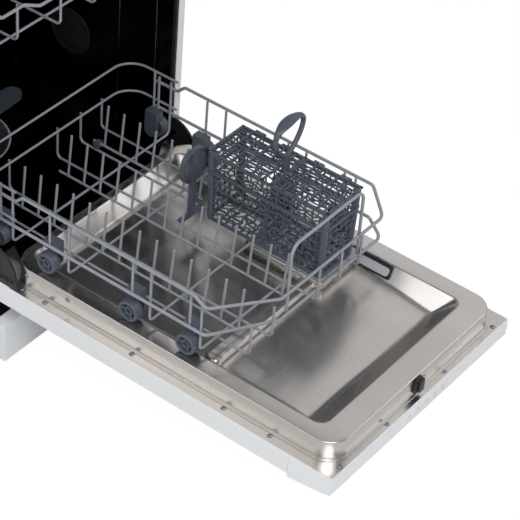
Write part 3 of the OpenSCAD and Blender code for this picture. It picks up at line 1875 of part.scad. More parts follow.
module upper_spray_arm() {
  color(slate)
    at(0, upper_arm_y, upper_arm_z)
      difference() {
        arm_blade(upper_arm_l);
        at(0, 0, -over)
          disc(arm_pin_r + bore_gap, arm_hub_h * 2);
      }
}

side_panel_left();
side_panel_right();
top_cover();
back_panel();
base_tray();
kick_panel();
levelling_feet();
tub_wrapper();
tub_back_wall();
tub_floor();
tub_gasket();
vent_cap();
sump_housing();
filter_plate();
circulation_pump();
drain_pump();
water_softener();
inlet_valve();
feed_pipe();
upper_rails();
lock_housing();
hinge_brackets();
hinge_arms();
door_springs();
door_panel();
control_fascia();
key_strip();
door_liner();
liner_screws();
striker_block();
striker_loop();
dispenser_housing();
hinge_shields();
lock_claw();
filter_cylinder();
salt_cap();
dispenser_lid();
rinse_cap();
power_button();
lower_spray_arm();
lower_rack_rails();
lower_rack_cross_wires();
lower_rack_long_wires();
rack_clips();
fixed_tines();
folding_tines();
rack_wheels_1();
rack_wheels_2();
rack_wheels_3();
rack_wheels_4();
basket_body();
basket_lid();
basket_handle();
upper_rack_rails();
upper_rack_wires();
upper_rollers_front();
upper_rollers_rear();
cup_shelf();
upper_feed_tube();
upper_spray_arm();
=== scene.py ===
import json
import math

import bmesh
import bpy
from mathutils import Matrix, Vector


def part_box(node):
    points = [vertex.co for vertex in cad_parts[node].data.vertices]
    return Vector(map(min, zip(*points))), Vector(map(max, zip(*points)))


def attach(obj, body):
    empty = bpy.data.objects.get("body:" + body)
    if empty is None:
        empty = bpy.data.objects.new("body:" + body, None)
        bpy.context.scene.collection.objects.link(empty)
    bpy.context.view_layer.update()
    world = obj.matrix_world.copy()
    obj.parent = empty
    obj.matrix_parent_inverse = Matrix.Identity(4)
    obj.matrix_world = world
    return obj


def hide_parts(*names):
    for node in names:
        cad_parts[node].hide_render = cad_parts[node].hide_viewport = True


# A slimline dishwasher with its door open and its lower rack drawn out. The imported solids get
# their finishes here, and finer pieces ride on the same bodies and stand for some of them.

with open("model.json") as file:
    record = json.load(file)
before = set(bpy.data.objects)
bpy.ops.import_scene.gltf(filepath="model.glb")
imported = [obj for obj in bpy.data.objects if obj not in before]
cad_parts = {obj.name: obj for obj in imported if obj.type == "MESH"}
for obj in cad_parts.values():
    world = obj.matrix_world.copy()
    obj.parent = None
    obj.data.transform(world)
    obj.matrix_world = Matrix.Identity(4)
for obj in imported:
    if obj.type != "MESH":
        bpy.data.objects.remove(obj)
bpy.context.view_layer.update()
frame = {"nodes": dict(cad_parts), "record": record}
NODES = frame["nodes"]
BODY = {name: body for body, names in frame["record"]["behaviour"]["bodies"].items()
        for name in names}
MM = 0.001
FULL_TURN = 2 * math.pi
QUARTER_TURN = math.pi / 2


# ---------------------------------------------------------------- finishes

def opaque(colour):
    return (*colour, 1.0)


def shade(colour, share):
    return tuple(min(1.0, c * share) for c in colour)


class Value:
    """A number in a material or in the studio: arithmetic on it adds Math nodes."""

    def __init__(self, graph, socket):
        self.graph = graph
        self.socket = socket

    def __add__(self, other):
        return self.graph.maths("ADD", self, other)

    def __radd__(self, other):
        return self.graph.maths("ADD", other, self)

    def __mul__(self, other):
        return self.graph.maths("MULTIPLY", self, other)

    def __rmul__(self, other):
        return self.graph.maths("MULTIPLY", other, self)


class Graph:
    """The nodes of a material or of the studio's world."""

    def __init__(self, tree):
        self.tree = tree

    def node(self, kind, settings=None, **inputs):
        """A node with its settings, and its sockets by name, or by number as i0, i1."""
        made = self.tree.nodes.new(kind)
        for key, value in (settings or {}).items():
            setattr(made, key, value)
        for key, value in inputs.items():
            slot = int(key[1:]) if key[0] == "i" and key[1:].isdigit() else key.replace("_", " ")
            self.join(value, made.inputs[slot])
        return made

    def join(self, value, socket):
        if isinstance(value, Value):
            value = value.socket
        if isinstance(value, bpy.types.NodeSocket):
            self.tree.links.new(value, socket)
        else:
            socket.default_value = value

    def maths(self, operation, first, second):
        made = self.node("ShaderNodeMath", {"operation": operation}, i0=first, i1=second)
        return Value(self, made.outputs[0])


class Finish(Graph):
    """A material on a Principled shader, with the object's own coordinates."""

    def __init__(self, name, colour, roughness, metallic=0.0, **constants):
        self.material = bpy.data.materials.new(name)
        self.material.use_nodes = True
        self.material.diffuse_color = opaque(colour)
        super().__init__(self.material.node_tree)
        self.shader = next(n for n in self.tree.nodes if n.type == "BSDF_PRINCIPLED")
        self.set("Base Color", opaque(colour))
        self.set("Roughness", roughness)
        self.set("Metallic", metallic)
        for socket, value in constants.items():
            self.set(socket.replace("_", " "), value)
        self.place = self.node("ShaderNodeTexCoord").outputs["Object"]

    def set(self, socket, value):
        self.join(value, self.shader.inputs[socket])

    def noise(self, scale, detail=2.0, stretch=(1.0, 1.0, 1.0), distortion=0.0):
        place = self.node("ShaderNodeMapping", Vector=self.place, Scale=stretch).outputs[0]
        made = self.node("ShaderNodeTexNoise", Vector=place, Scale=scale, Detail=detail,
                         Distortion=distortion)
        return Value(self, made.outputs["Fac"])

    def range(self, value, low, high, to_low, to_high):
        made = self.node("ShaderNodeMapRange", {"clamp": True}, Value=value, From_Min=low,
                         From_Max=high, To_Min=to_low, To_Max=to_high)
        return Value(self, made.outputs[0])

    def tint(self, factor, colour, dark, light):
        """The base colour, between a dark and a light share of one colour."""
        made = self.node("ShaderNodeMix", {"data_type": "RGBA"}, i0=factor,
                         i6=opaque(shade(colour, dark)), i7=opaque(shade(colour, light)))
        self.set("Base Color", made.outputs[2])

    def bump(self, height, strength, distance):
        made = self.node("ShaderNodeBump", Height=height, Strength=strength, Distance=distance)
        self.set("Normal", made.outputs[0])


def enamel(name, colour):
    """Baked paint on sheet metal."""
    made = Finish(name, colour, 0.3, Specular_IOR_Level=0.45)
    made.tint(made.noise(3.0), colour, 0.992, 1.005)
    made.set("Roughness", made.range(made.noise(14.0), 0.2, 0.8, 0.29, 0.33))
    made.bump(made.noise(900.0, 1.0), 0.05, 0.0003)
    return made.material


def moulded(name, colour, roughness, grain=0.12, sway=0.12):
    """Moulded plastic with a fine grain."""
    made = Finish(name, colour, roughness, Specular_IOR_Level=0.45)
    made.tint(made.noise(9.0, 3.0), colour, 1.0 - sway, 1.0 + sway)
    made.set("Roughness", made.range(made.noise(60.0), 0.3, 0.7, roughness - 0.06,
                                     roughness + 0.08))
    made.bump(made.noise(1400.0, 2.0), grain, 0.0002)
    return made.material


def brushed(name, colour, roughness, stretch):
    """Bare sheet metal, brushed along the axis that the stretch draws out."""
    made = Finish(name, colour, roughness, 1.0)
    lines = made.noise(420.0, 3.0, stretch)
    clouds = made.noise(5.0, 3.0)
    made.tint(lines * 0.6 + clouds * 0.4, colour, 0.975, 1.02)
    smear = made.noise(7.0, 3.0, (1.0, 0.5, 1.0), 0.4)
    made.set("Roughness", made.range(smear + lines * 0.1, 0.40, 0.70, roughness - 0.03,
                                     roughness + 0.05))
    made.bump(lines, 0.006, 0.0001)
    return made.material


def coated(name, colour):
    """Plastic coating on wire, a little uneven."""
    made = Finish(name, colour, 0.34, Specular_IOR_Level=0.5)
    made.tint(made.noise(30.0, 3.0), colour, 0.9, 1.1)
    made.set("Roughness", made.range(made.noise(120.0), 0.3, 0.7, 0.28, 0.42))
    made.bump(made.noise(700.0, 2.0), 0.1, 0.0002)
    return made.material


WHITE = (0.82, 0.84, 0.86)
WARM_STEEL = (0.625, 0.60, 0.578)
# Steel of the tub, darkened to near black as painted shade of its unlit inside
SHADED_TUB_STEEL = (0.045, 0.045, 0.047)
ZINC = (0.55, 0.56, 0.58)
WIRE_GREY = (0.30, 0.32, 0.35)
SLATE = (0.082, 0.098, 0.130)
PALE_GREY = (0.45, 0.47, 0.50)
BLACK = (0.016, 0.016, 0.018)
RUBBER = (0.02, 0.02, 0.022)

ALONG_X = (0.02, 1.0, 1.0)
ALONG_Y = (1.0, 0.02, 1.0)
ALONG_Z = (1.0, 1.0, 0.02)

FINISHES = {name: make(name, *values) for name, make, *values in (
    ("white_enamel", enamel, WHITE),
    ("white_plastic", moulded, WHITE, 0.38, 0.05, 0.01),
    ("bare_steel", brushed, WARM_STEEL, 0.25, ALONG_X),
    # painted shade: the tub's steel is drawn near black
    ("tub_steel", brushed, SHADED_TUB_STEEL, 0.24, ALONG_Z),
    ("zinc_steel", brushed, ZINC, 0.36, ALONG_Y),
    ("coated_wire", coated, WIRE_GREY),
    ("slate_plastic", moulded, SLATE, 0.42),
    ("grey_plastic", moulded, PALE_GREY, 0.42),
    ("black_plastic", moulded, BLACK, 0.38),
    ("black_rubber", moulded, RUBBER, 0.6, 0.2),
)}


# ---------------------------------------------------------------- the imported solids

# Bends of the sheet and of the mouldings, in millimetres; every other edge stays crisp
EASED = {"door_panel": 0.8, "control_fascia": 1.0, "top_cover": 1.5, "kick_panel": 0.6,
         "base_tray": 0.6, "power_button": 0.4}
SHARP = math.radians(32.0)
WELD_DISTANCE = 2e-6


def dress(piece, finish):
    piece.data.materials.clear()
    piece.data.materials.append(FINISHES[finish])


def polish(name, edge):
    """Smooth shading on a node from the frame, with its sharp edges eased by `edge` mm."""
    node = NODES[name]
    if "custom_normal" in node.data.attributes:
        node.data.attributes.remove(node.data.attributes["custom_normal"])
    node.data.shade_smooth()
    node.modifiers.new("merge", "WELD").merge_threshold = WELD_DISTANCE
    if edge:
        bevel = node.modifiers.new("edge", "BEVEL")
        bevel.width = edge * MM
        bevel.segments = 2
        bevel.limit_method = "ANGLE"
        bevel.angle_limit = SHARP
        bevel.use_clamp_overlap = True
        node.modifiers.new("flats", "WEIGHTED_NORMAL").keep_sharp = False
    else:
        node.modifiers.new("creases", "EDGE_SPLIT").split_angle = SHARP


for part in frame["record"]["subparts"]:
    dress(NODES[part["node"]], part["material_slot"])
for name in NODES:
    polish(name, EASED.get(name, 0.0))


# ---------------------------------------------------------------- shapes
# Shapes are built in millimetres, and a finished piece is brought to metres.

CREASE = math.radians(38.0)


def finished(name, bm, finish, node, replaces=True, wall=0.0):
    """A piece from a bmesh, which rides with a node of the frame and may stand for it."""
    bmesh.ops.remove_doubles(bm, verts=bm.verts, dist=0.002)
    bmesh.ops.recalc_face_normals(bm, faces=bm.faces)
    bmesh.ops.scale(bm, vec=(MM, MM, MM), verts=bm.verts)
    mesh = bpy.data.meshes.new(name)
    bm.to_mesh(mesh)
    bm.free()
    mesh.shade_smooth()
    mesh.set_sharp_from_angle(angle=CREASE)
    made = bpy.data.objects.new(name, mesh)
    bpy.context.scene.collection.objects.link(made)
    if wall:
        sheet = made.modifiers.new("wall", "SOLIDIFY")
        sheet.thickness = wall * MM
        sheet.offset = -1.0
    dress(made, finish)
    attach(made, BODY[node])
    if replaces:
        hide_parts(node)


def joined(bm, other):
    """Adds another bmesh to this one."""
    mesh = bpy.data.meshes.new("shape")
    other.to_mesh(mesh)
    other.free()
    bm.from_mesh(mesh)
    bpy.data.meshes.remove(mesh)


def edges_of(verts):
    return list(dict.fromkeys(e for v in verts for e in v.link_edges))


def block(bm, low, high, edge=0.0, segments=2):
    """A box between two corners with its edges eased. Gives its vertices."""
    low, high = Vector(low), Vector(high)
    others = set(bm.verts)
    made = bmesh.ops.create_cube(bm, size=1.0)["verts"]
    bmesh.ops.scale(bm, vec=high - low, verts=made)
    bmesh.ops.translate(bm, vec=(high + low) / 2, verts=made)
    if edge:
        bmesh.ops.bevel(bm, geom=edges_of(made), offset=edge, segments=segments, profile=0.5,
                        affect="EDGES", material=-1)
    return [v for v in bm.verts if v not in others]


def turned(bm, profile, centre, axis, steps=32):
    """A closed profile of (radius, place along the axis) turned round the axis."""
    axis = Vector(axis)
    across = Vector((0.0, 0.0, 1.0)) if abs(axis.z) < 0.9 else Vector((1.0, 0.0, 0.0))
    centre = Vector(centre)
    verts = [bm.verts.new(centre + across * r + axis * t) for r, t in profile]
    edges = [bm.edges.new((a, b)) for a, b in zip(verts, verts[1:] + verts[:1])]
    bmesh.ops.spin(bm, geom=verts + edges, cent=centre, axis=axis, angle=FULL_TURN,
                   steps=steps, use_merge=True)


def eased(sections, reaches, steps=4):
    """Sections of a pressing with each inner corner of the profile replaced by a bend."""
    made = [Vector(sections[0])]
    for before, at, after, reach in zip(sections, sections[1:], sections[2:], reaches):
        at = Vector(at)
        into, out = Vector(before) - at, Vector(after) - at
        start = at + into * min(0.5, reach / max(abs(c) for c in into))
        stop = at + out * min(0.5, reach / max(abs(c) for c in out))
        for k in range(steps + 1):
            t = k / steps
            made.append(start * (1 - t) ** 2 + at * 2 * t * (1 - t) + stop * t ** 2)
    made.append(Vector(sections[-1]))
    return made


def extruded(bm, edges):
    """The next ring of a shell, as vertices and edges that still lie on the last one."""
    verts = [v for v in bmesh.ops.extrude_edge_only(bm, edges=edges)["geom"]
             if isinstance(v, bmesh.types.BMVert)]
    fresh = set(verts)
    return verts, [e for e in edges_of(verts) if e.verts[0] in fresh and e.verts[1] in fresh]


# The four corners of a rounded rectangle, as the signs of x and y
CORNERS = ((1, 1), (-1, 1), (-1, -1), (1, -1))


def pressed(bm, sections, steps=8, cap=True):
    """A shell lofted through rounded rectangles (x0, x1, y0, y1, corner radius, z)."""
    def centres(x0, x1, y0, y1, r, z):
        return [Vector((x1 - r if sx > 0 else x0 + r, y1 - r if sy > 0 else y0 + r, z))
                for sx, sy in CORNERS]

    def outward(offset, signs):
        return offset.x * signs[0] > 0 and offset.y * signs[1] > 0

    last, old = sections[0], centres(*sections[0])
    half_step = math.pi / (4 * steps)
    verts = bmesh.ops.create_circle(bm, cap_ends=False, segments=4 * steps,
                                    radius=last[4] / math.cos(half_step))["verts"]
    bmesh.ops.rotate(bm, cent=(0, 0, 0), matrix=Matrix.Rotation(half_step, 3, "Z"), verts=verts)
    edges = edges_of(verts)
    corners = [[v for v in verts if outward(v.co, signs)] for signs in CORNERS]
    for group, centre in zip(corners, old):
        bmesh.ops.translate(bm, vec=centre, verts=group)
    for section in sections[1:]:
        verts, edges = extruded(bm, edges)
        corners = [[] for _ in CORNERS]
        for v in verts:
            outside = [i for i in range(4) if outward(v.co - old[i], CORNERS[i])]
            corners[min(outside, key=lambda i: abs((v.co - old[i]).length - last[4]))].append(v)
        new = centres(*section)
        size = section[4] / last[4]
        for group, centre, goal in zip(corners, old, new):
            bmesh.ops.scale(bm, vec=(size, size, 1.0), verts=group,
                            space=Matrix.Translation(-centre))
            bmesh.ops.translate(bm, vec=goal - centre, verts=group)
        last, old = section, new
    if cap:
        bmesh.ops.edgeloop_fill(bm, edges=edges)


def plate(bm, x0, x1, y0, y1, r, z0, z1, edge):
    """A flat plate with round corners and an eased upper edge."""
    inset = edge * 2
    pressed(bm, eased([(x0, x1, y0, y1, r, z0), (x0, x1, y0, y1, r, z1),
                       (x0 + inset, x1 - inset, y0 + inset, y1 - inset, max(0.3, r - inset),
                        z1)], (edge,)), 5)


def scatter(col, row, seed):
    """Two shares between 0 and 1, fixed for each place of a grid but without a pattern."""
    wave = math.sin(col * 12.9898 + row * 78.233 + seed * 37.719) * 43758.5453
    second = wave * 7.31
    return wave - math.floor(wave), second - math.floor(second)


# How far every second joint of an openwork panel steps up and down, as a share of a cell
STAGGER = 0.22


def lattice(bm, wide, high, cols, rows, bar, wall, place, seed, sway=0.3):
    """A flat openwork panel of uneven six-sided cells, in the XY plane before it is placed."""
    panel = bmesh.new()
    bmesh.ops.create_grid(panel, x_segments=cols, y_segments=rows, size=0.5)
    bmesh.ops.scale(panel, vec=(wide, high, 1.0), verts=panel.verts)
    cell_x, cell_y = wide / cols, high / rows
    cut = []
    for e in panel.edges:
        a, b = (v.co for v in e.verts)
        if abs(a.x - b.x) < 1e-4 and not e.is_boundary:
            col = round(a.x / cell_x + cols / 2)
            row = math.floor((a.y + b.y) / 2 / cell_y + rows / 2)
            if (col + row) % 2:
                cut.append(e)
    for v in panel.verts:
        if not v.is_boundary:
            col = round(v.co.x / cell_x + cols / 2)
            row = round(v.co.y / cell_y + rows / 2)
            along, up = scatter(col, row, seed)
            step = STAGGER if (col + row) % 2 else -STAGGER
            bmesh.ops.translate(panel, vec=((along - 0.5) * cell_x * sway * 2,
                                            (step + (up - 0.5) * sway) * cell_y, 0.0), verts=[v])
    bmesh.ops.dissolve_edges(panel, edges=cut, use_verts=False)
    cells = list(panel.faces)
    bmesh.ops.inset_individual(panel, faces=cells, thickness=bar / 2, use_even_offset=True)
    bmesh.ops.delete(panel, geom=cells, context="FACES")
    bmesh.ops.solidify(panel, geom=panel.faces, thickness=wall)
    bmesh.ops.transform(panel, matrix=place, verts=panel.verts)
    joined(bm, panel)


def swept(bm, stations, y, steps=14):
    """A bar along stations (x, z, half width across, half width in the plane) at one y."""
    places = [Vector((x, y, z)) for x, z, _, _ in stations]
    across = Vector((0.0, 1.0, 0.0))
    verts = bmesh.ops.create_circle(bm, cap_ends=True, segments=steps, radius=1.0)["verts"]
    edges = edges_of(verts)
    last = Matrix()
    for k, (_, _, wide, thick) in enumerate(stations):
        if k:
            verts, edges = extruded(bm, edges)
        along = (places[min(k + 1, len(places) - 1)] - places[max(k - 1, 0)]).normalized()
        place = (Matrix.Translation(places[k])
                 @ Matrix((across, along.cross(across), along)).transposed().to_4x4()
                 @ Matrix.Diagonal((wide, thick, 1.0, 1.0)))
        bmesh.ops.transform(bm, matrix=place @ last.inverted(), verts=verts)
        last = place
    bmesh.ops.edgeloop_fill(bm, edges=edges)


def smooth_path(points, steps=5):
    """Points of a curve that runs through the given stations."""
    made = []
    last = len(points) - 1
    for k in range(last):
        a, b, c, d = (Vector(points[min(max(k + o, 0), last)]) for o in (-1, 0, 1, 2))
        for n in range(steps):
            t = n / steps
            made.append(0.5 * (2 * b + (c - a) * t + (2 * a - 5 * b + 4 * c - d) * t * t
                               + (3 * b - a - 3 * c + d) * t * t * t))
    made.append(Vector(points[-1]))
    return made


# ---------------------------------------------------------------- liner of the open door

# Levels of the flange, of the ring that the wheels stand on, of the basin's lowest floor, and
# of the raised bed that carries the dispenser
RIM, TRACK, FOOT, BED = 172.3, 207.0, 177.0, 202.6
FLANGE_X, FLANGE_END, FLANGE_REAR = 222.4, -603.6, -5.0
FLANGE_SHEET, LINER_SHEET = 0.7, 0.8
RING_X, RING_END, RING_REAR, RING_ROUND = 204.0, -592.0, 7.0, 36.0
BASIN = (-177.0, 173.0, -551.0, -7.0)
# Past FLAT_X the basin's floor turns up into its side walls, which lean in by LEAN for each
# millimetre down from the ring
FLAT_X, LEAN = 128.0, 0.8
FREE_Y, RIDGE_Y, REAR_Y = -514.0, -346.0, -331.0
RIDGE_LIFT, REAR_LIFT = 11.0, 5.0


def floor_lift(y):
    """Height of the basin's floor above its lowest place, which lies at the free end."""
    if y < RIDGE_Y + 0.01:
        return max(0.0, y - FREE_Y) / (RIDGE_Y - FREE_Y) * RIDGE_LIFT
    return REAR_LIFT + max(0.0, REAR_Y - y) / (REAR_Y - RIDGE_Y) * (RIDGE_LIFT - REAR_LIFT)


def liner():
    def outside(out, z):
        """The ring's outline, `out` mm out from its wall."""
        return (-RING_X - out, RING_X + out, RING_END - out, RING_REAR, RING_ROUND + out, z)

    bm = bmesh.new()
    pressed(bm, [(-FLANGE_X, FLANGE_X, FLANGE_END, FLANGE_REAR, 3.0, z)
                 for z in (RIM - FLANGE_SHEET, RIM)], 4)
    x0, x1, y0, y1 = BASIN
    dish = bmesh.new()
    pressed(dish, eased([outside(4.2, RIM - 0.1), outside(3.6, RIM + 1.7),
                         outside(0.0, RIM + 2.1), outside(0.0, TRACK),
                         (x0, x1, y0, y1, 18.0, TRACK),
                         (-153.0, 149.0, FREE_Y, -34.0, 3.0, FOOT),
                         (-133.0, 129.0, -492.0, -56.0, 2.5, FOOT)],
                        (0.6, 1.6, 3.0, 2.5, 8.0), 6), 10)
    for y in (REAR_Y, RIDGE_Y):
        bmesh.ops.bisect_plane(dish, geom=dish.verts[:] + dish.edges[:] + dish.faces[:],
                               dist=1e-4, plane_co=(0, y, 0), plane_no=(0, 1, 0))
    for v in dish.verts:
        x, y, z = v.co
        if x0 - 1 < x < x1 + 1 and y0 - 1 < y < y1 + 1 and z < TRACK:
            lift = floor_lift(y) * (TRACK - z) / (TRACK - FOOT)
            out = math.copysign(lift * LEAN, x) if abs(x) > FLAT_X else 0.0
            bmesh.ops.translate(dish, vec=(out, 0.0, lift), verts=[v])
    joined(bm, dish)
    # the cross ridge, and the raised bed of the dispenser
    pressed(bm, eased([(-171.0, 80.0, -358.5, -327.5, 13.0, 180.0),
                       (-167.0, 80.0, -355.0, -331.0, 9.0, 198.6),
                       (-161.0, 74.0, -349.0, -337.0, 3.0, 199.0)], (3.0,)), 8)
    pressed(bm, eased([(66.0, 180.0, -370.0, -218.0, 10.0, 178.0),
                       (68.0, 179.0, -368.0, -220.0, 8.0, BED),
                       (77.0, 172.0, -359.0, -229.0, 6.0, BED),
                       (77.0, 172.0, -359.0, -229.0, 6.0, BED - 4.6)], (3.0, 1.0)), 6, cap=False)
    finished("pressed_liner", bm, "bare_steel", "door_liner", wall=LINER_SHEET)


# ---------------------------------------------------------------- dispenser

# Levels of the bezel on the liner's bed, and of the powder cup's floor
BEZEL, CUP_FLOOR = 205.2, 182.0
# The dispenser's narrow end lies on the basin's side wall: where, and its plates on that slope
SIDE_WALL = Vector((154.6, 0.0, 185.4))
SIDE_PLATES = (
    # The black frame round the grey pad is painted shadow of the gap between the pad and the
    # ring's wall
    ("dispenser_shade_frame", "black_plastic", (4.0, 27.0, -429.5, -350.0, 5.0, -3.0, 1.6, 0.6)),
    ("dispenser_pad", "grey_plastic", (7.4, 20.8, -425.5, -352.0, 5.0, 1.0, 3.0, 0.7)))
GRIP_RIBS = 4


def dispenser():
    bm = bmesh.new()
    outline, cup = (71.0, 176.0, -365.0, -223.0, 9.0), (78.0, 124.0, -352.0, -290.0, 6.0)
    pressed(bm, eased([(*outline, BEZEL - 5.2), (*outline, BEZEL), (*cup, BEZEL),
                       (*cup, CUP_FLOOR), (84.0, 118.0, -346.0, -296.0, 3.0, CUP_FLOOR)],
                      (1.2, 0.8, 3.0)), 6)
    finished("dispenser_bezel", bm, "grey_plastic", "dispenser_housing")
    slope = Matrix.Translation(SIDE_WALL) @ Matrix.Rotation(-math.atan2(1.0, LEAN), 4, "Y")
    for name, finish, sizes in SIDE_PLATES:
        bm = bmesh.new()
        plate(bm, *sizes)
        bmesh.ops.transform(bm, matrix=slope, verts=bm.verts)
        finished(name, bm, finish, "dispenser_housing", replaces=False)
    # the sliding lid, with ribs for a finger
    bm = bmesh.new()
    plate(bm, 74.0, 128.0, -356.0, -286.0, 4.0, BEZEL + 0.3, BEZEL + 2.4, 0.6)
    for i in range(GRIP_RIBS):
        y = -347.0 + i * 4.0
        block(bm, (84.0, y, BEZEL + 2.2), (118.0, y + 1.6, BEZEL + 3.1), 0.3, 1)
    finished("dispenser_slide", bm, "slate_plastic", "dispenser_lid")


# ---------------------------------------------------------------- small parts on the door

# The striker's housing on the ring's end wall, its nose and its cheek: corners and bends
STRIKER = (((-13.0, -597.5, 178.5), (3.0, -592.2, 205.5), 1.4),
           ((-9.5, -602.0, 182.0), (2.5, -596.5, 204.0), 1.2),
           ((-13.5, -596.5, 180.0), (-11.0, -592.5, 192.0), 0.8))
KEYS = 5
# Shares of the way along the flange's sides, across its free end and along the ring's walls
SCREWS_ALONG = (0.189, 0.328, 0.612, 0.894, 0.969)
SCREWS_ACROSS = (-0.89, -0.378, 0.284, 0.875)
SCREWS_IN_WALL = (0.831, 0.968)
SCREW_START, SCREW_RUN = -600.7, 595.7
SCREW_SIDE_X, SCREW_END_X, SCREW_END_Y, SCREW_WALL_Z = 211.85, 219.7, -597.2, 194.75
SCREW_HEAD = ((3.1, 0.0), (3.0, 0.5), (2.3, 0.95), (1.2, 1.2), (0.0, 1.25), (0.0, 0.0))
# A thin black ring round each head: painted shade of the seat it sits in
SCREW_SHADE_RING = ((3.1, 0.0), (4.1, 0.0), (4.1, 0.1), (3.1, 0.1))


def striker():
    bm = bmesh.new()
    for low, high, edge in STRIKER:
        block(bm, low, high, edge, 2 if edge < 1.0 else 3)
    finished("striker_housing", bm, "black_plastic", "striker_block")


def keys():
    """The touch keys, each marked by a plain ring or by three bars."""
    low, high = (Vector(c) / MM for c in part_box("key_strip"))
    bm = bmesh.new()
    block(bm, (low.x, low.y + 0.3, low.z), high, 0.3)
    finished("key_strip_plain", bm, "white_plastic", "key_strip")
    bm = bmesh.new()
    middle = (low.z + high.z) / 2
    for i in range(KEYS):
        x = low.x + (high.x - low.x) * (i + 0.5) / KEYS
        if i % 2:
            for up in (-2.0, 0.0, 2.0):
                block(bm, (x - 2.6, low.y + 0.15, middle + up - 0.4),
                      (x + 2.6, low.y + 0.4, middle + up + 0.4))
        else:
            turned(bm, [(1.9, 0.0), (2.7, 0.0), (2.7, 0.25), (1.9, 0.25)],
                   (x, low.y + 0.4, middle), (0, -1, 0), 24)
    finished("key_marks", bm, "grey_plastic", "key_strip", replaces=False)


def screws():
    """Cross-recessed screws on the flange and in the ring's wall, each with painted shade as a
    black ring round its head and black bars in its cross.
    """
    places = [Matrix.Translation((side * SCREW_SIDE_X, SCREW_START + SCREW_RUN * along, RIM))
              for side in (-1, 1) for along in SCREWS_ALONG]
    places += [Matrix.Translation((SCREW_END_X * across, SCREW_END_Y, RIM))
               for across in SCREWS_ACROSS]
    places += [Matrix.Translation((side * RING_X, SCREW_START + SCREW_RUN * along, SCREW_WALL_Z))
               @ Matrix.Rotation(side * QUARTER_TURN, 4, "Y")
               for side in (-1, 1) for along in SCREWS_IN_WALL]
    heads, shade_pieces = bmesh.new(), bmesh.new()
    for number, place in enumerate(places):
        head = bmesh.new()
        turned(head, SCREW_HEAD, (0, 0, 0), (0, 0, 1), 20)
        shade_piece = bmesh.new()
        turned(shade_piece, SCREW_SHADE_RING, (0, 0, 0), (0, 0, 1), 20)
        # Black bars over the head's cross: painted shade of the recess
        for turn in (0.0, QUARTER_TURN):
            slot = block(shade_piece, (-1.9, -0.35, 0.9), (1.9, 0.35, 1.35))
            bmesh.ops.rotate(shade_piece, cent=(0, 0, 0), verts=slot,
                             matrix=Matrix.Rotation(turn + number * 0.7, 3, "Z"))
        for one, all_of_them in ((head, heads), (shade_piece, shade_pieces)):
            bmesh.ops.transform(one, matrix=place, verts=one.verts)
            joined(all_of_them, one)
    finished("screw_heads", heads, "zinc_steel", "liner_screws")
    finished("screw_recess_shade", shade_pieces, "black_rubber", "liner_screws", replaces=False)


def vent():
    """The round cap on the tub's wall, with a bead round it."""
    low, high = (Vector(c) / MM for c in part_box("vent_cap"))
    centre = Vector((high.x, (low.y + high.y) / 2, (low.z + high.z) / 2))
    deep, r = high.x - low.x, (high.z - low.z) / 2
    bm = bmesh.new()
    turned(bm, [(0.0, 0.0), (r, 0.0), (r, deep * 0.35), (r - 1.5, deep * 0.6),
                (r - 5.0, deep * 0.6), (r - 7.0, deep * 0.35), (r - 14.0, deep * 0.8),
                (r * 0.3, deep), (0.0, deep)], centre, (-1, 0, 0), 48)
    # Black plastic, as painted shade: the cap lies in the tub's unlit inside
    finished("vent_dome", bm, "black_plastic", "vent_cap")


# ---------------------------------------------------------------- wheels of the lower rack

# A wheel's profile, as radius and place from its outer face
WHEEL = ((12.4, 7.0), (12.4, 1.4), (12.9, 0.4), (14.0, 0.0), (15.8, 0.0), (16.8, 0.6),
         (17.3, 1.8), (17.5, 3.4), (17.5, 11.2), (16.6, 11.8), (16.6, 12.6), (17.5, 13.2),
         (17.4, 15.0), (16.4, 16.0), (12.0, 16.0), (12.0, 8.6), (7.2, 8.6), (7.2, 15.6),
         (4.4, 15.6), (4.4, 2.6), (5.0, 2.0), (6.6, 2.0), (7.2, 2.6), (7.2, 7.0))
WHEEL_PAIRS, SPOKES = 4, 5
WHEEL_FACE_X, SPOKE_X = 192.5, 188.4


def wheels():
    for pair in range(1, WHEEL_PAIRS + 1):
        node = f"rack_wheels_{pair}"
        low, high = (Vector(c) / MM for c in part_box(node))
        y, z = (low.y + high.y) / 2, (low.z + high.z) / 2
        bm = bmesh.new()
        for side in (-1, 1):
            turned(bm, WHEEL, (side * WHEEL_FACE_X, y, z), (-side, 0, 0), 40)
            for spoke in range(SPOKES):
                arm = block(bm, (-3.2, -0.9, 6.8), (3.2, 0.9, 12.6), 0.3, 1)
                bmesh.ops.rotate(bm, cent=(0, 0, 0), verts=arm,
                                 matrix=Matrix.Rotation(spoke * FULL_TURN / SPOKES, 3, "X"))
                bmesh.ops.translate(bm, vec=(side * SPOKE_X, y, z), verts=arm)
        finished(node + "_moulded", bm, "slate_plastic", node)


# ---------------------------------------------------------------- cutlery basket

BASKET = (52.0, 138.0, -376.0, -154.0)
BASKET_TOP, BASKET_SPLIT = 349.3, 315.0
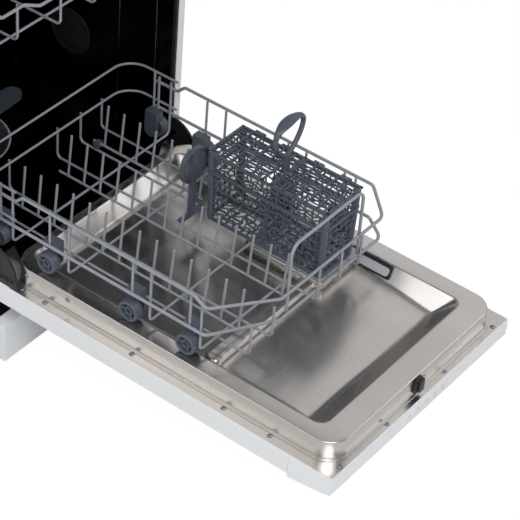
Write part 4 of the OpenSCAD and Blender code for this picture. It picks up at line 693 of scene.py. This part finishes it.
# How far the basket's upper edge stands out past its floor on each side
DRAFT = 3.0
POST = 10.0
HANDLE_Y = -264.0
HANDLE = ((99.0, 372.0, 4.0, 3.6), (89.0, 378.0, 4.0, 3.6), (77.0, 390.0, 4.0, 3.8),
          (68.0, 404.0, 4.2, 3.8), (67.0, 419.0, 4.4, 3.8), (74.0, 430.0, 6.5, 3.2),
          (86.0, 435.5, 9.5, 2.8), (100.0, 438.0, 9.5, 2.8), (114.0, 437.5, 7.5, 3.0),
          (126.0, 433.0, 5.0, 3.6), (133.0, 423.0, 4.2, 3.8), (131.0, 408.0, 4.0, 3.8),
          (123.0, 394.0, 4.0, 3.8), (112.0, 382.0, 4.0, 3.6), (99.0, 373.0, 4.0, 3.6))
LID = (50.5, 138.5, -377.5, -152.5)
LID_LOW, LID_HIGH = 349.7, 351.9
LID_COLUMNS, LID_ROWS = 4, 11
EDGE_BAR, THIN_BAR = 4.4, 3.0
# The handle's slot in the lid, from the left edge to SLOT_END
SLOT_NEAR, SLOT_FAR, SLOT_END = HANDLE_Y - 6.0, HANDLE_Y + 6.0, 126.0
LID_AXIS_X, LID_AXIS_Z = 141.0, 350.4
UPRIGHT = Matrix.Rotation(QUARTER_TURN, 4, "X")


def knuckles(bm, places, near, low, high):
    """Knuckles of the lid's hinge, each at the end of a lug."""
    for y in places:
        turned(bm, [(0.9, -4.0), (2.0, -4.0), (2.0, 4.0), (0.9, 4.0)],
               (LID_AXIS_X, y, LID_AXIS_Z), (0, 1, 0), 16)
        block(bm, (near, y - 4.0, low), (LID_AXIS_X - 0.2, y + 4.0, high), 0.5, 1)


def handle():
    bm = bmesh.new()
    swept(bm, smooth_path(HANDLE), HANDLE_Y)
    block(bm, (92.0, HANDLE_Y - 3.6, 343.5), (106.0, HANDLE_Y + 3.6, 374.0), 1.5)
    finished("handle_loop", bm, "slate_plastic", "basket_handle")


def basket():
    x0, x1, y0, y1 = BASKET
    z0, z1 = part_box("basket_body")[0].z / MM, BASKET_TOP
    mid_x, mid_y = (x0 + x1) / 2, (y0 + y1) / 2
    bm = bmesh.new()

    def band(z, tall, out, thick=2.6):
        """A frame round the basket, `out` mm out from its upper edge."""
        outer = (x0 - out, x1 + out, y0 - out, y1 + out, 5.0)
        inset = thick - out
        inner = (x0 + inset, x1 - inset, y0 + inset, y1 - inset, 2.4)
        pressed(bm, [(*outer, z), (*outer, z + tall), (*inner, z + tall), (*inner, z),
                     (*outer, z)], 4, cap=False)

    def drafted(z):
        """How far a wall at this height lies in from the upper edge."""
        return DRAFT * (z1 - z) / (z1 - z0)

    band(z0, 6.0, -DRAFT)
    band(BASKET_SPLIT - 2.0, 4.6, 0.4, 3.8)
    band(z1 - 5.0, 5.0, 0.0)
    for side_x, x in ((1, x0), (-1, x1)):
        for side_y, y in ((1, y0), (-1, y1)):
            far_x, far_y = x + side_x * POST, y + side_y * POST
            post = block(bm, (min(x, far_x), min(y, far_y), z0 + 1),
                         (max(x, far_x), max(y, far_y), z1 - 1), 3.0, 3)
            for v in post:
                inward = drafted(v.co.z)
                bmesh.ops.translate(bm, vec=(side_x * inward, side_y * inward, 0.0), verts=[v])
    lean = math.atan2(DRAFT, z1 - z0)
    length, width = y1 - y0 - 8.0, x1 - x0 - 8.0
    for low, high, rows, seed in ((z0 + 3.0, BASKET_SPLIT, 6, 3.0),
                                  (BASKET_SPLIT, z1 - 2.0, 3, 11.0)):
        tall, mid_z = high - low, (low + high) / 2
        inset = drafted(mid_z) + 1.0
        for side in (-1, 1):
            place = (Matrix.Translation((mid_x + side * ((x1 - x0) / 2 - inset), mid_y, mid_z))
                     @ Matrix.Rotation(side * lean, 4, "Y")
                     @ Matrix.Rotation(side * QUARTER_TURN, 4, "Z") @ UPRIGHT)
            lattice(bm, length, tall, 17, rows, 1.8, 2.0, place, seed + side)
            place = (Matrix.Translation((mid_x, mid_y + side * ((y1 - y0) / 2 - inset), mid_z))
                     @ Matrix.Rotation(-side * lean, 4, "X")
                     @ Matrix.Rotation(math.pi * (side > 0), 4, "Z") @ UPRIGHT)
            lattice(bm, width, tall, 6, rows, 1.8, 2.0, place, seed + 4.0 + side)
    # the floor and the cross wall under the handle
    lattice(bm, width - 4, length - 4, 6, 15, 2.4, 2.0,
            Matrix.Translation((mid_x, mid_y, z0 + 2.0)), 5.0)
    lattice(bm, width, z1 - z0 - 12.0, 6, 8, 2.0, 2.0,
            Matrix.Translation((mid_x, HANDLE_Y, (z0 + z1) / 2 - 4.0)) @ UPRIGHT, 9.0)
    knuckles(bm, (-350.0, -300.0, -230.0, -180.0), 136.5, 347.0, z1)
    finished("basket_openwork", bm, "slate_plastic", "basket_body")


def lid():
    x0, x1, y0, y1 = LID
    step_x = (x1 - x0 - EDGE_BAR) / LID_COLUMNS
    step_y = (y1 - y0 - EDGE_BAR) / LID_ROWS
    bm = bmesh.new()

    def strip(left, right, near, far):
        """A bar of the lid, which stops on both sides of the handle's slot."""
        parts = [(near, far)]
        if left < SLOT_END and near < SLOT_FAR and far > SLOT_NEAR:
            parts = [(near, SLOT_NEAR), (SLOT_FAR, far)]
        for start, stop in parts:
            if stop - start > 0.8:
                block(bm, (left, start, LID_LOW), (right, stop, LID_HIGH), 0.6)

    for i in range(LID_COLUMNS + 1):
        wide = EDGE_BAR if i in (0, LID_COLUMNS) else THIN_BAR
        x = x0 + step_x * i + (EDGE_BAR - wide) / 2
        strip(x, x + wide, y0, y1)
    for j in range(LID_ROWS + 1):
        wide = EDGE_BAR if j in (0, LID_ROWS) else THIN_BAR
        y = y0 + step_y * j + (EDGE_BAR - wide) / 2
        strip(x0, x1, y, y + wide)
    for y in (SLOT_NEAR - THIN_BAR, SLOT_FAR):
        strip(x0, x1, y, y + THIN_BAR)
    for i in range(LID_COLUMNS):
        for j in range(LID_ROWS):
            left, near = x0 + EDGE_BAR / 2 + step_x * i, y0 + EDGE_BAR / 2 + step_y * j
            if i < 3 and near < SLOT_FAR + 2.0 and near + step_y > SLOT_NEAR - 2.0:
                continue
            if (i + j) % 2:
                for third in (1, 2):
                    x = left + step_x * third / 3
                    strip(x - 1.0, x + 1.0, near, near + step_y)
            else:
                lattice(bm, step_x, step_y, 2, 2, 2.6, LID_HIGH - LID_LOW,
                        Matrix.Translation((left + step_x / 2, near + step_y / 2, LID_LOW)),
                        i * 3.0 + j, 0.35)
    knuckles(bm, (-340.0, -290.0, -240.0, -190.0), 137.5, LID_LOW + 0.1, LID_HIGH - 0.1)
    finished("lid_openwork", bm, "slate_plastic", "basket_lid")


for make in (liner, dispenser, vent, striker, keys, screws, wheels, handle, basket, lid):
    make()


# ---------------------------------------------------------------- studio

FLOOR = (0.86, 0.86, 0.86)
# The floor as reflections see it, a little warmer and duller
FLOOR_MIRRORED = (0.80, 0.775, 0.755)
PURE_WHITE = (1.0, 1.0, 1.0)
# Share of the floor that is plain white to the camera; the rest keeps the shadows
FLOOR_GLOW, GLOW_LEVEL = 0.93, 1.04
# Where the studio is brightest, behind the machine on its right, and how bright it is
BRIGHT_SIDE = (0.771, 0.252, 0.584)
BRIGHT, DIM = 0.80, 0.33


def linked(name, data):
    made = bpy.data.objects.new(name, data)
    bpy.context.scene.collection.objects.link(made)
    return made


def floor():
    material = bpy.data.materials.new("stage_floor")
    material.use_nodes = True
    graph = Graph(material.node_tree)
    graph.tree.nodes.clear()
    ray = graph.node("ShaderNodeLightPath").outputs
    plain = graph.node("ShaderNodeBsdfDiffuse", Color=opaque(FLOOR)).outputs[0]
    mirrored = graph.node("ShaderNodeBsdfDiffuse", Color=opaque(FLOOR_MIRRORED)).outputs[0]
    glow = graph.node("ShaderNodeEmission", Color=opaque(PURE_WHITE),
                      Strength=GLOW_LEVEL).outputs[0]
    lit = graph.node("ShaderNodeMixShader", i0=ray["Is Glossy Ray"], i1=plain,
                     i2=mirrored).outputs[0]
    share = Value(graph, ray["Is Camera Ray"]) * FLOOR_GLOW
    seen = graph.node("ShaderNodeMixShader", i0=share, i1=lit, i2=glow).outputs[0]
    graph.node("ShaderNodeOutputMaterial", Surface=seen)
    bm = bmesh.new()
    bmesh.ops.create_grid(bm, x_segments=1, y_segments=1, size=12.0)
    mesh = bpy.data.meshes.new("stage_floor")
    bm.to_mesh(mesh)
    bm.free()
    mesh.materials.append(material)
    linked("stage_floor", mesh)


def surroundings():
    """White to the camera, and a soft light with one bright side to everything else."""
    world = bpy.data.worlds.new("studio")
    world.use_nodes = True
    bpy.context.scene.world = world
    graph = Graph(world.node_tree)
    where = graph.node("ShaderNodeTexCoord").outputs["Generated"]
    facing = graph.node("ShaderNodeVectorMath", {"operation": "DOT_PRODUCT"}, i0=where,
                        i1=BRIGHT_SIDE).outputs["Value"]
    soft = graph.node("ShaderNodeMapRange", {"interpolation_type": "SMOOTHSTEP"}, Value=facing,
                      From_Min=0.90, From_Max=0.99, To_Min=DIM, To_Max=BRIGHT).outputs["Result"]
    seen = graph.node("ShaderNodeLightPath").outputs["Is Camera Ray"]
    level = graph.node("ShaderNodeMix", Factor=seen, A=soft, B=1.0).outputs["Result"]
    sky = graph.tree.nodes["Background"]
    graph.join(opaque(PURE_WHITE), sky.inputs["Color"])
    graph.join(level, sky.inputs["Strength"])


def lamp(name, place, target, size, power):
    data = bpy.data.lights.new(name, "AREA")
    data.shape = "RECTANGLE"
    data.size, data.size_y = size
    data.energy = power
    made = linked(name, data)
    made.location = place
    made.rotation_euler = (Vector(target) - Vector(place)).to_track_quat("-Z", "Y").to_euler()


floor()
surroundings()
lamp("key", (-1.6, -1.9, 2.6), (0.0, -0.3, 0.2), (1.6, 1.2), 52.0)
# These two stand where the ring's bends and the flange mirror them
lamp("free_end", (2.0, -2.1, 2.05), (0.0, -0.45, 0.2), (2.2, 1.6), 15.0)
lamp("left_side", (-1.9, 0.9, 2.3), (-0.1, -0.4, 0.2), (2.0, 1.8), 18.0)

# Camera, fitted to the straight edges of the door and racks in the photograph
CAMERA_AT = (-2.05272452, -1.70904453, 2.34111858)
CAMERA_AZIMUTH, CAMERA_DOWN, CAMERA_ROLL = -55.53980669, 39.96819227, 5.01112634
CAMERA_FOCAL_PX = 2211.20485
PHOTO_PX = 520.0
SENSOR = 36.0


def camera():
    azimuth, down, roll = (math.radians(a) for a in (CAMERA_AZIMUTH, CAMERA_DOWN, CAMERA_ROLL))
    ahead = Vector((-math.sin(azimuth) * math.cos(down), math.cos(azimuth) * math.cos(down),
                    -math.sin(down)))
    level_right = Vector((math.cos(azimuth), math.sin(azimuth), 0.0))
    level_up = level_right.cross(ahead)
    right = math.cos(roll) * level_right + math.sin(roll) * level_up
    up = math.cos(roll) * level_up - math.sin(roll) * level_right
    data = bpy.data.cameras.new("camera")
    data.sensor_fit = "HORIZONTAL"
    data.sensor_width = SENSOR
    data.lens = SENSOR * CAMERA_FOCAL_PX / PHOTO_PX
    made = linked("camera", data)
    made.matrix_world = (Matrix.Translation(CAMERA_AT)
                         @ Matrix((right, up, -ahead)).transposed().to_4x4())
    bpy.context.scene.camera = made


camera()
bpy.context.scene.view_settings.view_transform = "Standard"
